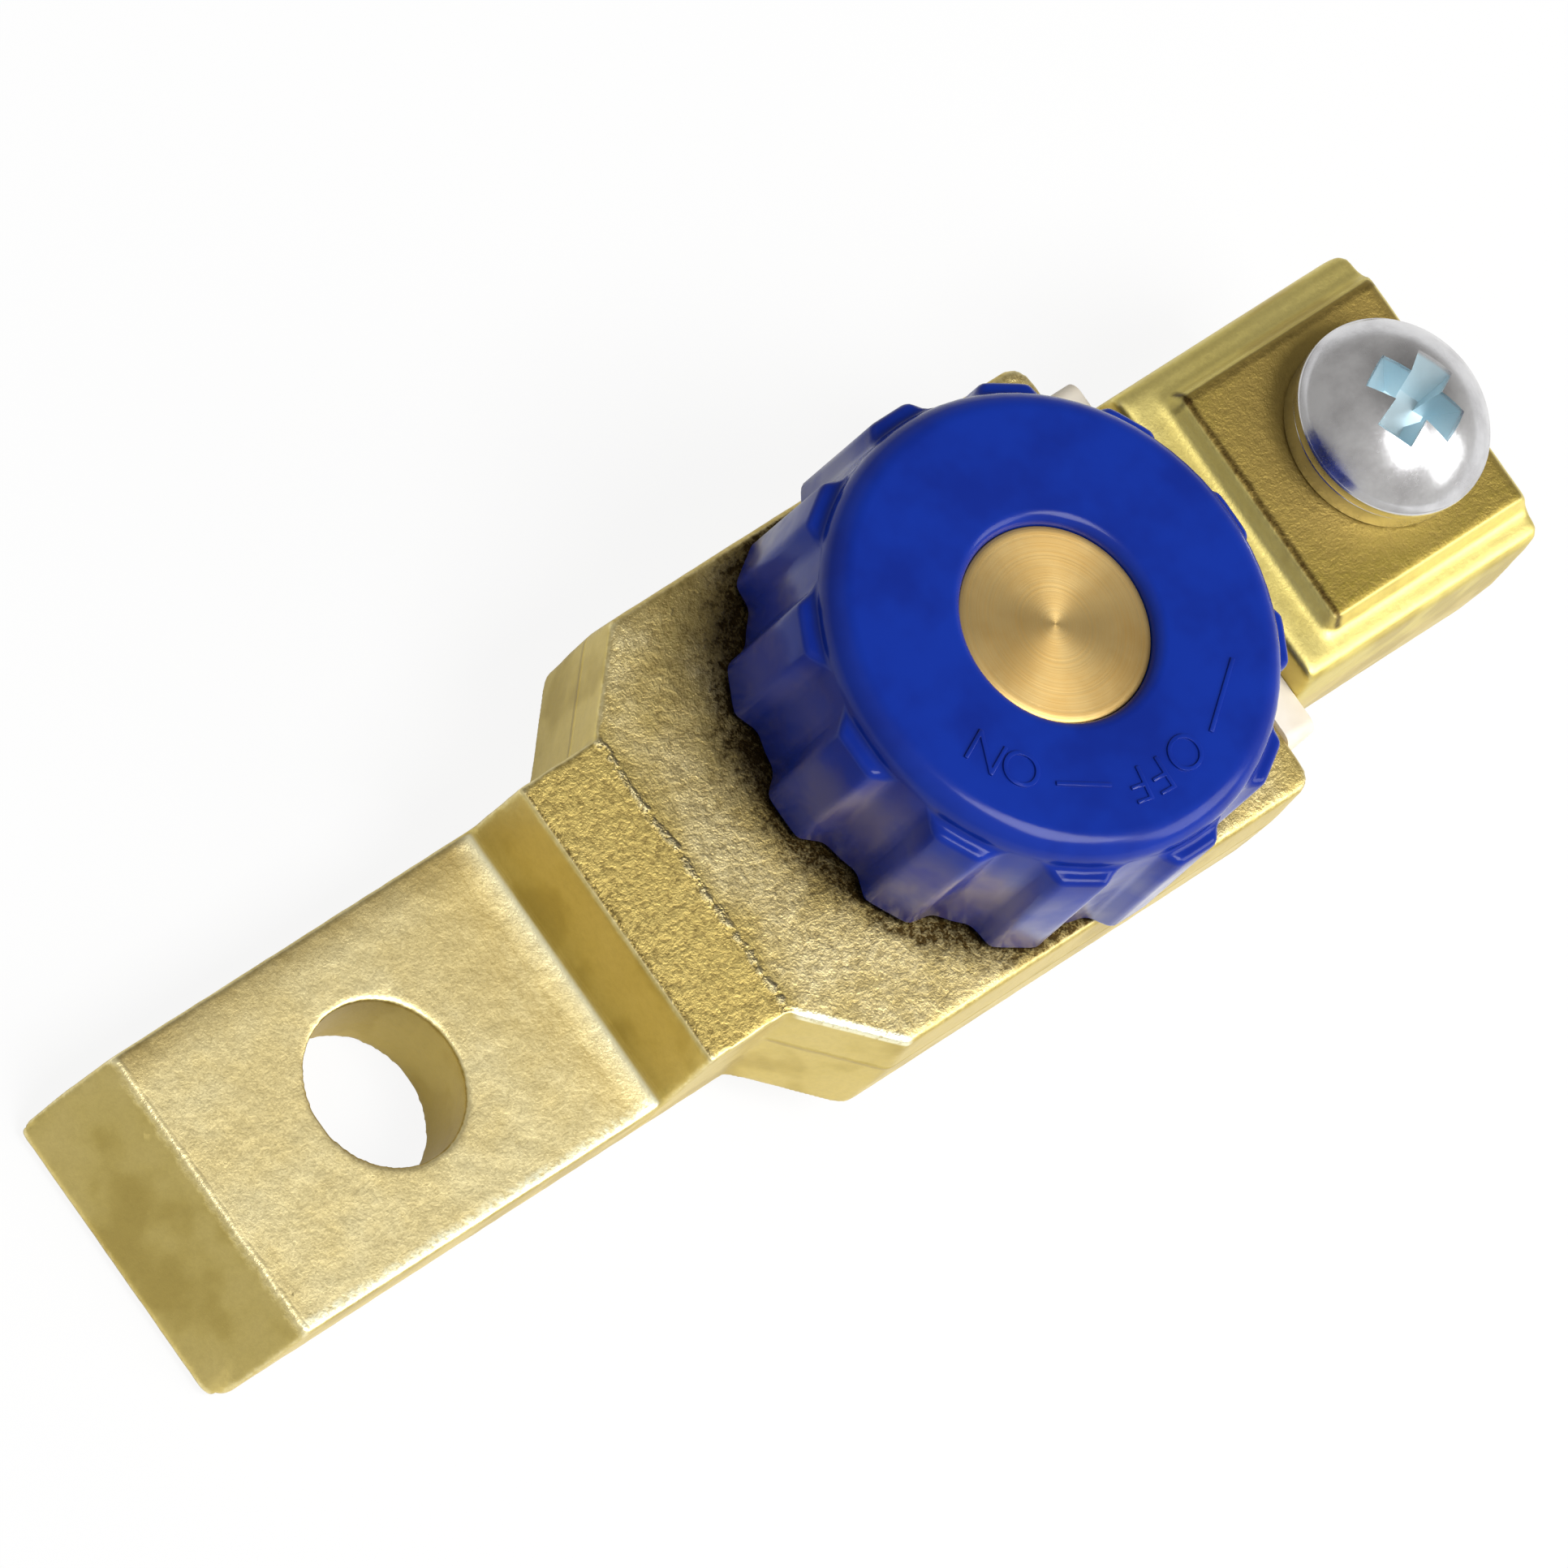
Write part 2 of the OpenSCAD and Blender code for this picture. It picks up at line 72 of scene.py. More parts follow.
class Socket:
    """A value in a node tree, with operators that add Math nodes."""

    def __init__(self, shader: "Shader", output: bpy.types.NodeSocket) -> None:
        """Keep the shader and the output that the value comes from."""
        self.shader = shader
        self.output = output

    def math(self, operation: str, *others: "Socket | float", clamp: bool = False) -> "Socket":
        """Put this value through a Math node.

        Args:
            operation: The Math node's operation.
            others: The node's other values.
            clamp: Whether the result is held between 0 and 1.

        Returns:
            The node's result.
        """
        settings = {"operation": operation, "use_clamp": clamp}
        inputs = {i: value for i, value in enumerate((self, *others))}
        return self.shader.node("ShaderNodeMath", settings, inputs)

    def __add__(self, other: "Socket | float") -> "Socket":
        """Add a value."""
        return self.math("ADD", other)

    __radd__ = __add__

    def __mul__(self, other: "Socket | float") -> "Socket":
        """Multiply by a value."""
        return self.math("MULTIPLY", other)

    __rmul__ = __mul__

    def __sub__(self, other: "Socket | float") -> "Socket":
        """Subtract a value."""
        return self.math("SUBTRACT", other)

    def __rsub__(self, other: float) -> "Socket":
        """Subtract this value from a number."""
        return self.shader.node("ShaderNodeMath", {"operation": "SUBTRACT"}, {0: other, 1: self})

    def __truediv__(self, other: "Socket | float") -> "Socket":
        """Divide by a value."""
        return self.math("DIVIDE", other)

    def __pow__(self, other: "Socket | float") -> "Socket":
        """Raise to a power."""
        return self.math("POWER", other)

    def clamped(self) -> "Socket":
        """Hold the value between 0 and 1."""
        return self.math("ADD", 0.0, clamp=True)

    def size(self) -> "Socket":
        """Drop the value's sign."""
        return self.math("ABSOLUTE")

    def ease(self, low: float, high: float) -> "Socket":
        """Map a range of the value smoothly to 0 to 1.

        Args:
            low: The value that gives 0.
            high: The value that gives 1.

        Returns:
            The eased value.
        """
        settings = {"interpolation_type": "SMOOTHSTEP"}
        return self.shader.node("ShaderNodeMapRange", settings, {0: self, 1: low, 2: high, 3: 0.0, 4: 1.0})


class Shader:
    """A material or world under construction."""

    def __init__(self, tree: bpy.types.NodeTree) -> None:
        """Empty the node tree and keep it."""
        self.tree = tree
        tree.nodes.clear()

    def node(
        self,
        kind: str,
        settings: dict[str, object] | None = None,
        inputs: dict[str | int, object] | None = None,
        output: str | int = 0,
    ) -> Socket:
        """Add a node.

        Args:
            kind: The node's type.
            settings: The node's own properties, and "stops" for a ramp's places and colours.
            inputs: The values or links of its sockets, by name or number.
            output: The output that is wanted.

        Returns:
            That output.
        """
        made = self.tree.nodes.new(kind)
        for name, value in (settings or {}).items():
            if name == "stops":
                self._set_stops(made.color_ramp, value)
            else:
                setattr(made, name, value)
        for name, value in (inputs or {}).items():
            if isinstance(value, Socket):
                self.tree.links.new(value.output, made.inputs[name])
            else:
                made.inputs[name].default_value = value
        return Socket(self, made.outputs[output]) if len(made.outputs) else Socket(self, None)

    @staticmethod
    def _set_stops(ramp: bpy.types.ColorRamp, stops: Sequence[tuple[float, Colour]]) -> None:
        """Give a ramp its places and colours.

        Args:
            ramp: The ramp, which has two stops.
            stops: The places and colours, two or more.
        """
        while len(ramp.elements) < len(stops):
            ramp.elements.new(0.5)
        for element, (place, colour) in zip(ramp.elements, stops):
            element.position = place
            element.color = colour

    def place(self, centre: Point = (0.0, 0.0, 0.0), turn: Point = (0.0, 0.0, 0.0)) -> Socket:
        """Give the place on the piece, counted from a centre.

        Args:
            centre: The centre in metres.
            turn: The turn of the axes in radians.

        Returns:
            The place as a vector in metres.
        """
        at = self.node("ShaderNodeTexCoord", output="Object")
        settings = {"vector_type": "TEXTURE"}
        return self.node("ShaderNodeMapping", settings, {"Vector": at, "Location": centre, "Rotation": turn})

    def split(self, vector: Socket) -> tuple[Socket, Socket, Socket]:
        """Split a vector into its three values."""
        made = self.node("ShaderNodeSeparateXYZ", None, {0: vector}).output.node
        return tuple(Socket(self, out) for out in made.outputs)

    def noise(self, vector: Socket, grain: float, detail: float = 4.0, rough: float = 0.55) -> Socket:
        """Add a noise texture.

        Args:
            vector: The place in metres.
            grain: The size of a grain in millimetres.
            detail: The number of finer layers.
            rough: The strength of the finer layers.

        Returns:
            The noise, about 0.5 on average.
        """
        inputs = {"Vector": vector, "Scale": 1 / (grain * MM), "Detail": detail, "Roughness": rough}
        return self.node("ShaderNodeTexNoise", None, inputs)

    def tint(self, factor: Socket | float, low: Socket | Colour, high: Socket | Colour) -> Socket:
        """Mix two colours.

        Args:
            factor: The share of the second colour.
            low: The first colour.
            high: The second colour.

        Returns:
            The mixed colour.
        """
        inputs = {0: factor, 6: low, 7: high}
        return self.node("ShaderNodeMix", {"data_type": "RGBA"}, inputs, output=2)

    def bump(self, height: Socket, strength: float, depth: float, normal: Socket | None = None) -> Socket:
        """Turn a height into a normal.

        Args:
            height: The height.
            strength: The strength from 0 to 1.
            depth: The depth of a height of 1, in millimetres.
            normal: A normal that this one adds to.

        Returns:
            The normal.
        """
        inputs = {"Height": height, "Strength": strength, "Distance": depth * MM}
        if normal is not None:
            inputs["Normal"] = normal
        return self.node("ShaderNodeBump", None, inputs)

    def surface(self, **inputs: object) -> Socket:
        """Add the Principled shader, with its sockets named by keywords with underscores."""
        named = {name.replace("_", " "): value for name, value in inputs.items()}
        return self.node("ShaderNodeBsdfPrincipled", None, named)

    def end(self, shader: Socket, kind: str = "ShaderNodeOutputMaterial") -> None:
        """Link a shader to the output node."""
        self.node(kind, None, {0: shader})


def new_shader(name: str) -> tuple[bpy.types.Material, Shader]:
    """Make an empty material.

    Args:
        name: The material's name.

    Returns:
        The material and its shader.
    """
    material = bpy.data.materials.new(name)
    material.use_nodes = True
    return material, Shader(material.node_tree)


@dataclass(frozen=True)
class CastBrass:
    """Sand-cast brass: grainy, stained in its hollows and worn bright on its edges, with painted shade on its side
    faces and round the knob and screw, and painted highlights on the tongue and shoulder.
    """

    name: str = "cast_brass"
    # The colour of the painted highlights.
    gleam: Colour = paint(255, 252, 218)
    bright: Colour = paint(252, 240, 190)
    body: Colour = paint(240, 222, 162)
    dull: Colour = paint(172, 148, 84)
    # The dark of pits and seams, also painted as the shadow at the knob's foot.
    dark_pit_and_shadow: Colour = paint(70, 54, 26)
    # A darker olive, painted as shade on the faces that do not face up.
    shaded_olive: Colour = paint(216, 196, 118)
    # Tarnish on the neck and pad, also painted as shade on the side faces.
    tarnish_and_shade: Colour = paint(186, 164, 88)
    moss: Colour = paint(134, 118, 34)
    lime: Colour = paint(224, 208, 116)
    foot: float = 14.35
    sweep: float = 2.2
    rough_from: float = 14.7
    seam_at: float = 20.6
    ramp_at: float = -13.8
    knob_at: float = 42.9
    plate_end: float = 59.0
    screw_at: float = 73.7
    parting: float = 8.75
    pad_from: float = 64.4
    pad_half: float = 7.3

    def make(self) -> bpy.types.Material:
        """Build the material.

        Returns:
            The material.
        """
        material, shader = new_shader(self.name)
        place = shader.place()
        x, y, z = shader.split(place)
        facing = shader.split(shader.node("ShaderNodeNewGeometry", output="Normal"))[2]
        cloud = shader.noise(place, 7.0, 3.0, 0.6)
        patch = shader.noise(place, 1.9, 4.0, 0.6)
        grain = shader.noise(place, 0.40, 4.0, 0.6)
        fine = shader.noise(place, 0.15, 3.0, 0.6)
        wear = shader.node("ShaderNodeAttribute", {"attribute_name": "wear"}, output="Fac")
        edge = (wear + (grain - 0.5) * 0.10).ease(0.05, 0.17)
        hollow = (wear * -1 + (grain - 0.5) * 0.08).ease(0.03, 0.16)

        top = facing.ease(0.80, 0.97)
        high = z.ease(10.6 * MM, 11.6 * MM)
        sand = top * high
        plate = sand * (1 - x.ease((self.plate_end - 0.1) * MM, (self.plate_end + 0.2) * MM))
        block = sand - plate
        pad = block * z.ease(15.5 * MM, 15.9 * MM)
        tongue = top * (1 - high)
        shoulder = (facing.ease(0.30, 0.50) - top).clamped() * x.ease(self.seam_at * MM, (self.seam_at + 1.0) * MM)
        shoulder = shoulder * (1 - x.ease((self.plate_end - 0.1) * MM, (self.plate_end + 0.2) * MM))
        coarse = plate + shoulder * 0.45 + pad * 0.55 + tongue * 0.42 + (1 - top + block) * 0.20

        knob = ((x - self.knob_at * MM) ** 2.0 + y ** 2.0) ** 0.5 + (patch - 0.5) * 0.003
        # Painted shadow at the knob's foot on the plate, mixed with a real stain.
        soot_and_shadow = (1 - knob.ease(14.8 * MM, 17.6 * MM)) * plate
        # Painted shade on the plate round the knob, from the knob's shadow and reflection, stronger toward +Y.
        knob_shade = (1 - knob.ease(15.0 * MM, 25.0 * MM)) * plate * (y.ease(-13.0 * MM, -3.0 * MM) * 0.7 + 0.3)
        screw = ((x - self.screw_at * MM) ** 2.0 + (y - 0.5 * MM) ** 2.0) ** 0.5
        # Painted shadow of the screw's head on the pad, toward +Y.
        screw_shadow = (1 - screw.ease(6.0 * MM, 15.0 * MM)) * pad * y.ease(-9.0 * MM, -2.0 * MM)

        blot = (grain * 0.55 + fine * 0.45).ease(0.40, 0.62)
        base = shader.tint(cloud.ease(0.35, 0.65) * 0.55 + (patch - 0.5) * 0.6, self.body, self.bright)
        neck = plate * (1 - x.ease(self.seam_at * MM, (self.seam_at + 1.5) * MM))
        # Painted shade: the faces that do not face up are tinted toward a darker olive, in cloudy patches.
        side_shade = (1 - facing.ease(0.68, 0.92)) * (0.45 + cloud * 1.0)
        base = shader.tint(side_shade.clamped(), base, self.shaded_olive)
        base = shader.tint((high - plate - pad).clamped() * x.ease(60.6 * MM, 61.2 * MM) * 0.75, base, self.lime)
        # Darker inside the bore, and painted shade in cloudy patches on the side faces.
        bore = (1 - (x ** 2.0 + y ** 2.0).ease(0.0000275, 0.0000285)) * (1 - facing.ease(0.3, 0.9))
        base = shader.tint((bore * 0.75 + side_shade * cloud.ease(0.48, 0.62) * 0.6).clamped(), base, self.tarnish_and_shade)
        shade = y.ease(6.6 * MM, 9.6 * MM) * tongue * (0.4 + patch)
        base = shader.tint((shade * 0.75).clamped(), base, self.dull)
        stained = neck * 0.85 + pad * 0.85 + (plate - neck) * (0.15 + (1 - cloud.ease(0.38, 0.6)) * 0.5)
        base = shader.tint(stained.clamped(), base, self.tarnish_and_shade)
        # Painted shade: the sloped shoulder faces are darkened in patches.
        base = shader.tint(shoulder * (0.10 + patch * 0.25), base, self.dull)
        base = shader.tint(pad * (0.55 + cloud * 0.4), base, self.moss)
        base = shader.tint(((1 - blot) * coarse * 0.5).clamped(), base, self.dull)
        # Painted shade round the knob and the painted screw shadow, with the patina in the hollows.
        base = shader.tint((knob_shade * (0.05 + patch * 0.85) + screw_shadow * 0.8 + hollow * 0.25).clamped(), base, self.dull)
        # Dark pits in the grain, with the painted shade round the knob and the painted shadow at its foot.
        deep_pits_and_shade = (1 - grain.ease(0.30, 0.52)) * coarse * (knob_shade * 0.3 + neck * 0.3 + 0.1) + soot_and_shadow * (0.7 + (1 - blot) * 0.4)
        base = shader.tint(deep_pits_and_shade.clamped(), base, self.dark_pit_and_shadow)

        ragged = (patch - 0.5) * 0.0011 + (grain - 0.5) * 0.0005
        step = 1 - (x - (self.rough_from + 0.25) * MM + ragged * 0.5).size().ease(0.0, 0.00035)
        base = shader.tint((step * plate * fine.ease(0.38, 0.55) * 0.8).clamped(), base, self.dark_pit_and_shadow)
        seam = 1 - (x - self.seam_at * MM + ragged).size().ease(0.00004, 0.00042)
        seam = seam * plate * shader.noise(place, 0.9, 3.0, 0.6).ease(0.40, 0.56)
        lip = 1 - (x - self.ramp_at * MM + ragged * 0.5).size().ease(0.0, 0.0004)
        lip = lip * z.ease(5.2 * MM, 5.6 * MM)
        base = shader.tint((seam * (1 - grain.ease(0.42, 0.55)) * 0.7).clamped(), base, self.dark_pit_and_shadow)
        base = shader.tint((edge * (0.3 + grain * 0.7) + (seam + lip) * grain * 0.9).clamped(), base, self.bright)

        near_x = (x - self.pad_from * MM + ragged * 0.3).size()
        near_y = (y - self.pad_half * MM + ragged * 0.3).size()
        inside = z.ease(15.2 * MM, 15.5 * MM)
        stain = (1 - near_x.ease(0.00004, 0.00040)) + (1 - near_y.ease(0.00004, 0.00030)) * 0.5
        base = shader.tint((stain * inside * (0.35 + grain)).clamped(), base, self.dark_pit_and_shadow)
        wall = x.ease(62.6 * MM, 63.0 * MM) * z.ease(14.4 * MM, 14.8 * MM) * (1 - facing.ease(0.5, 0.94))

        sweep = ((x - (self.foot - self.sweep) * MM) / (self.sweep * MM)).clamped() ** 2.0
        parting = 1 - (z - self.parting * MM + ragged * 0.3).size().ease(0.0, 0.0003)
        parting = parting * (1 - facing.size().ease(0.3, 0.6)) * x.ease(self.seam_at * MM, (self.seam_at + 0.4) * MM)
        parting = parting * (1 - x.ease((self.plate_end - 0.2) * MM, self.plate_end * MM))
        base = shader.tint(parting * 0.4, base, self.dull)
        # Painted highlight on the tongue at the step's foot.
        foot_highlight = sweep * tongue
        # Painted highlight along the top edge of the -Y shoulder.
        slant = ((x - 20.6 * MM) * 0.688 + (y + 9.65 * MM) * 0.726 - 0.22 * MM).size()
        shoulder_highlight = (1 - slant.ease(0.00012, 0.00042)) * x.ease(20.7 * MM, 21.3 * MM) * (1 - x.ease(26.0 * MM, 26.6 * MM))
        shoulder_highlight = shoulder_highlight * z.ease(12.1 * MM, 12.3 * MM) * grain.ease(0.25, 0.5)
        base = shader.tint(shoulder_highlight.clamped(), base, self.gleam)
        # Painted highlight along the tongue's -Y edge.
        verge_highlight = (y * -1.0 + ragged * 0.6).ease(8.6 * MM, 9.2 * MM) * tongue * grain.ease(0.3, 0.6)
        base = shader.tint((foot_highlight * 0.9 + verge_highlight).clamped(), base, self.gleam)
        rough = 0.42 + coarse * 0.06 + block * 0.07 + (fine - 0.5) * 0.14 - edge * 0.06 - shoulder_highlight * 0.10
        relief = (grain * 0.8 + fine * 0.3 + patch * 0.5) * (coarse * (1 - tongue * 0.35) + 0.06) + (seam * 1.7 + lip) * (grain + 0.2) + parting * 1.2
        waved = shader.bump(relief, 0.95, 0.085)
        swept = shader.bump(sweep, 1.0, self.sweep * 0.19, waved)
        normal = shader.bump(fine, 0.35, 0.006, swept)
        metal = 1 - wall * 0.55
        shader.end(shader.surface(Base_Color=base, Roughness=rough, Metallic=metal, Normal=normal))
        return material


@dataclass(frozen=True)
class TurnedBrass:
    """Face-turned brass with concentric tool marks round an axis."""

    name: str = "turned_brass"
    light: Colour = paint(216, 186, 124)
    dark: Colour = paint(202, 164, 96)
    axis: Point = (0.0429, 0.0, 0.0)
    mark: float = 0.16

    def make(self) -> bpy.types.Material:
        """Build the material.

        Returns:
            The material.
        """
        material, shader = new_shader(self.name)
        place = shader.place(self.axis)
        x, y, _ = shader.split(place)
        reach = (x ** 2.0 + y ** 2.0) ** 0.5
        wobble = shader.noise(place, 2.5, 3.0)
        marks = shader.node("ShaderNodeTexNoise", {"noise_dimensions": "1D"},
                            {"W": reach / (self.mark * MM), "Scale": 1.0, "Detail": 3.0})
        blotch = shader.noise(place, 3.2, 3.0)
        base = shader.tint(blotch.ease(0.35, 0.65) * 0.5 + marks.ease(0.4, 0.65) * 0.3, self.light, self.dark)
        rough = 0.37 + wobble * 0.12 + marks * 0.10
        normal = shader.bump(marks, 0.5, 0.012)
        shader.end(shader.surface(Base_Color=base, Roughness=rough, Metallic=1.0, Anisotropic=0.55,
                                  Anisotropic_Rotation=0.25, Normal=normal))
        return material


@dataclass(frozen=True)
class Nylon:
    """Natural white moulded nylon."""

    name: str = "nylon"
    light: Colour = paint(236, 228, 212)
    dark: Colour = paint(220, 208, 186)

    def make(self) -> bpy.types.Material:
        """Build the material.

        Returns:
            The material.
        """
        material, shader = new_shader(self.name)
        place = shader.place()
        cloud = shader.noise(place, 4.0, 3.0)
        fine = shader.noise(place, 0.3, 3.0)
        base = shader.tint(cloud.ease(0.35, 0.7), self.light, self.dark)
        normal = shader.bump(fine, 0.3, 0.01)
        shader.end(shader.surface(Base_Color=base, Roughness=fine * 0.15 + 0.38, Normal=normal))
        return material


@dataclass(frozen=True)
class BluePlastic:
    """Blue moulded plastic with a satin skin."""

    name: str = "blue_plastic"
    light: Colour = paint(15, 46, 148)
    dark: Colour = paint(13, 38, 132)

    def make(self) -> bpy.types.Material:
        """Build the material.

        Returns:
            The material.
        """
        material, shader = new_shader(self.name)
        place = shader.place()
        cloud = shader.noise(place, 5.0, 3.0)
        fine = shader.noise(place, 0.22, 3.0)
        skin = shader.noise(place, 1.1, 2.0)
        base = shader.tint(cloud.ease(0.35, 0.7), self.light, self.dark)
        rough = 0.15 + cloud * 0.07 + (fine - 0.5) * 0.08
        normal = shader.bump(fine * 0.4 + skin, 0.22, 0.012)
        facing = shader.split(shader.node("ShaderNodeNewGeometry", output="Normal"))[2]
        upper = shader.split(place)[2].ease(18.5 * MM, 22.5 * MM)
        polish = (1 - facing.size().ease(0.15, 0.55)) * (cloud.ease(0.4, 0.6) * 0.5 + 0.4) * (1 - upper * 0.85)
        shader.end(shader.surface(Base_Color=base, Roughness=rough, Normal=normal, Specular_IOR_Level=0.18,
                                  Coat_Weight=polish, Coat_Roughness=0.3))
        return material


@dataclass(frozen=True)
class ZincPlate:
    """Bright zinc plate, with a blue cast in the screw's recess."""

    name: str = "zinc_plate"
    light: Colour = paint(214, 214, 216)
    dark: Colour = paint(168, 166, 168)
    recess: Colour = paint(208, 226, 233)
    axis: Point = (0.0737, 0.0, 0.0178)

    def make(self) -> bpy.types.Material:
        """Build the material.

        Returns:
            The material.
        """
        material, shader = new_shader(self.name)
        place = shader.place(self.axis)
        x, y, z = shader.split(place)
        reach = (x ** 2.0 + y ** 2.0) ** 0.5
        cloud = shader.noise(place, 2.2, 4.0)
        fine = shader.noise(place, 0.2, 4.0)
        base = shader.tint(cloud.ease(0.35, 0.75) * 0.6, self.light, self.dark)
        depth = z + reach * reach * 72.0
        sunk = (1 - depth.ease(0.0040, 0.0043)) * (1 - reach.ease(0.0036, 0.0038)) * z.ease(0.0004, 0.0006)
        base = shader.tint(sunk, base, self.recess)
        rough = 0.16 + cloud * 0.10 + fine.ease(0.4, 0.7) * 0.06 + sunk * 0.25
        normal = shader.bump(cloud * 0.7 + fine * 0.3, 0.35, 0.012)
        shader.end(shader.surface(Base_Color=base, Roughness=rough, Metallic=1.0, Normal=normal))
        return material


@dataclass(frozen=True)
class SpringSteel:
    """Plain spring steel of the hidden clip."""

    name: str = "spring_steel"
    light: Colour = paint(150, 152, 156)
    dark: Colour = paint(112, 113, 117)

    def make(self) -> bpy.types.Material:
        """Build the material.

        Returns:
            The material.
        """
        material, shader = new_shader(self.name)
        place = shader.place()
        cloud = shader.noise(place, 1.2, 4.0)
        base = shader.tint(cloud.ease(0.35, 0.7), self.light, self.dark)
        normal = shader.bump(cloud, 0.3, 0.01)
        shader.end(shader.surface(Base_Color=base, Roughness=cloud * 0.2 + 0.25, Metallic=1.0, Normal=normal))
        return material


class Body(Enum):
    """The bodies that pieces ride on."""

    HOUSING = "housing"
    CLIP = "clip"
    KNOB = "knob"
    WASHER = "washer"
    SCREW = "screw"


class Bench:
    """The modelling steps that the pieces share. Work is in millimetres."""

    @staticmethod
    def only(*objects: bpy.types.Object) -> bpy.types.Object:
        """Select these objects alone and make the first one active."""
        if bpy.context.mode != "OBJECT":
            bpy.ops.object.mode_set(mode="OBJECT")
        bpy.ops.object.select_all(action="DESELECT")
        for item in objects:
            item.select_set(True)
        bpy.context.view_layer.objects.active = objects[0]
        return objects[0]

    @staticmethod
    def named(name: str) -> bpy.types.Object:
        """Name the active object and its mesh."""
        made = bpy.context.view_layer.objects.active
        made.name = name
        made.data.name = name
        return made

    @staticmethod
    def copy_of(node: str, name: str) -> bpy.types.Object:
        """Copy a CAD node's mesh, merged and in millimetres.

        Args:
            node: The CAD node.
            name: The copy's name.

        Returns:
            The copy.
        """
        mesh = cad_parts[node].data.copy()
        mesh.name = name
        mesh.materials.clear()
        mesh.transform(Matrix.Scale(1 / MM, 4))
        made = bpy.data.objects.new(name, mesh)
        bpy.context.scene.collection.objects.link(made)
        Bench.only(made)
        bpy.ops.object.mode_set(mode="EDIT")
        bpy.ops.mesh.select_all(action="SELECT")
        bpy.ops.mesh.remove_doubles(threshold=0.004)
        bpy.ops.mesh.dissolve_limited(angle_limit=math.radians(0.5))
        bpy.ops.object.mode_set(mode="OBJECT")
        return made

    @staticmethod
    def modify(item: bpy.types.Object, kind: str, **settings: object) -> None:
        """Add a modifier and apply it.

        Args:
            item: The object.
            kind: The modifier's type.
            settings: The modifier's properties.
        """
        Bench.only(item)
        bpy.ops.object.modifier_add(type=kind)
        modifier = item.modifiers[-1]
        for name, value in settings.items():
            setattr(modifier, name, value)
        bpy.ops.object.modifier_apply(modifier=modifier.name)

    @staticmethod
    def pick(item: bpy.types.Object, wanted: Callable[[bmesh.types.BMFace], bool]) -> int:
        """Select the faces of an object in edit mode that a test accepts.

        Args:
            item: The object.
            wanted: The test.

        Returns:
            The number of faces selected.
        """
        bpy.ops.mesh.select_mode(type="FACE")
        bpy.ops.mesh.select_all(action="DESELECT")
        shape = bmesh.from_edit_mesh(item.data)
        found = [face for face in shape.faces if wanted(face)]
        for face in found:
            face.select_set(True)
        bmesh.update_edit_mesh(item.data)
        return len(found)

    @staticmethod
    def outline(name: str, points: Sequence[Point], closed: bool = False) -> bpy.types.Object:
        """Draw a chain of points by extruding one vertex from each to the next.

        Args:
            name: The object's name.
            points: The points in millimetres.
            closed: Whether the last point joins the first.

        Returns:
            The object, in edit mode and all selected.
        """
        bpy.ops.object.select_all(action="DESELECT")
        bpy.ops.mesh.primitive_plane_add(size=1.0, location=(0.0, 0.0, 0.0))
        made = Bench.named(name)
        bpy.ops.object.mode_set(mode="EDIT")
        bpy.ops.mesh.merge(type="CENTER")
        bpy.ops.mesh.select_mode(type="VERT")
        bpy.ops.transform.translate(value=points[0])
        for before, after in zip(points, points[1:]):
            step = tuple(b - a for a, b in zip(before, after))
            bpy.ops.mesh.extrude_region_move(TRANSFORM_OT_translate={"value": step})
        bpy.ops.mesh.select_all(action="SELECT")
        if closed:
            bpy.ops.mesh.select_all(action="DESELECT")
            shape = bmesh.from_edit_mesh(made.data)
            ends = [v for v in shape.verts if len(v.link_edges) == 1]
            for vertex in ends:
                vertex.select_set(True)
            bmesh.update_edit_mesh(made.data)
            bpy.ops.mesh.edge_face_add()
            bpy.ops.mesh.select_all(action="SELECT")
        return made

    @staticmethod
    def turned(
        name: str,
        profile: Sequence[tuple[float, float]],
        axis: tuple[float, float],
        steps: int,
        closed: bool = False,
        base: float = 0.0,
    ) -> bpy.types.Object:
        """Turn a profile round a vertical axis.

        Args:
            name: The object's name.
            profile: Radius and height of each point, in millimetres.
            axis: X and Y of the axis.
            steps: The number of steps in a full turn.
            closed: Whether the profile is a closed loop.
            base: The height that the profile's heights count from.

        Returns:
            The object, in object mode.
        """
        points = [(axis[0] + radius, axis[1], base + height) for radius, height in profile]
        made = Bench.outline(name, points, closed)
        bpy.ops.mesh.spin(steps=steps, angle=math.tau, center=(*axis, 0.0), axis=(0.0, 0.0, 1.0))
        Bench.mend()
        return made

    @staticmethod
    def mend(threshold: float = 0.002) -> None:
        """Merge doubles and point all faces outwards in edit mode, then leave it."""
        bpy.ops.mesh.select_all(action="SELECT")
        bpy.ops.mesh.remove_doubles(threshold=threshold)
        bpy.ops.mesh.normals_make_consistent(inside=False)
        bpy.ops.object.mode_set(mode="OBJECT")

    @staticmethod
    def arc(centre: tuple[float, float], radius: float, first: float, last: float, steps: int) -> list[tuple[float, float]]:
        """Give points on an arc.

        Args:
            centre: The arc's centre.
            radius: The arc's radius.
            first: The first angle in degrees.
            last: The last angle in degrees.
            steps: The number of steps.

        Returns:
            The points, both ends included.
        """
        angles = [math.radians(first + (last - first) * i / steps) for i in range(steps + 1)]
        return [(centre[0] + radius * math.cos(a), centre[1] + radius * math.sin(a)) for a in angles]

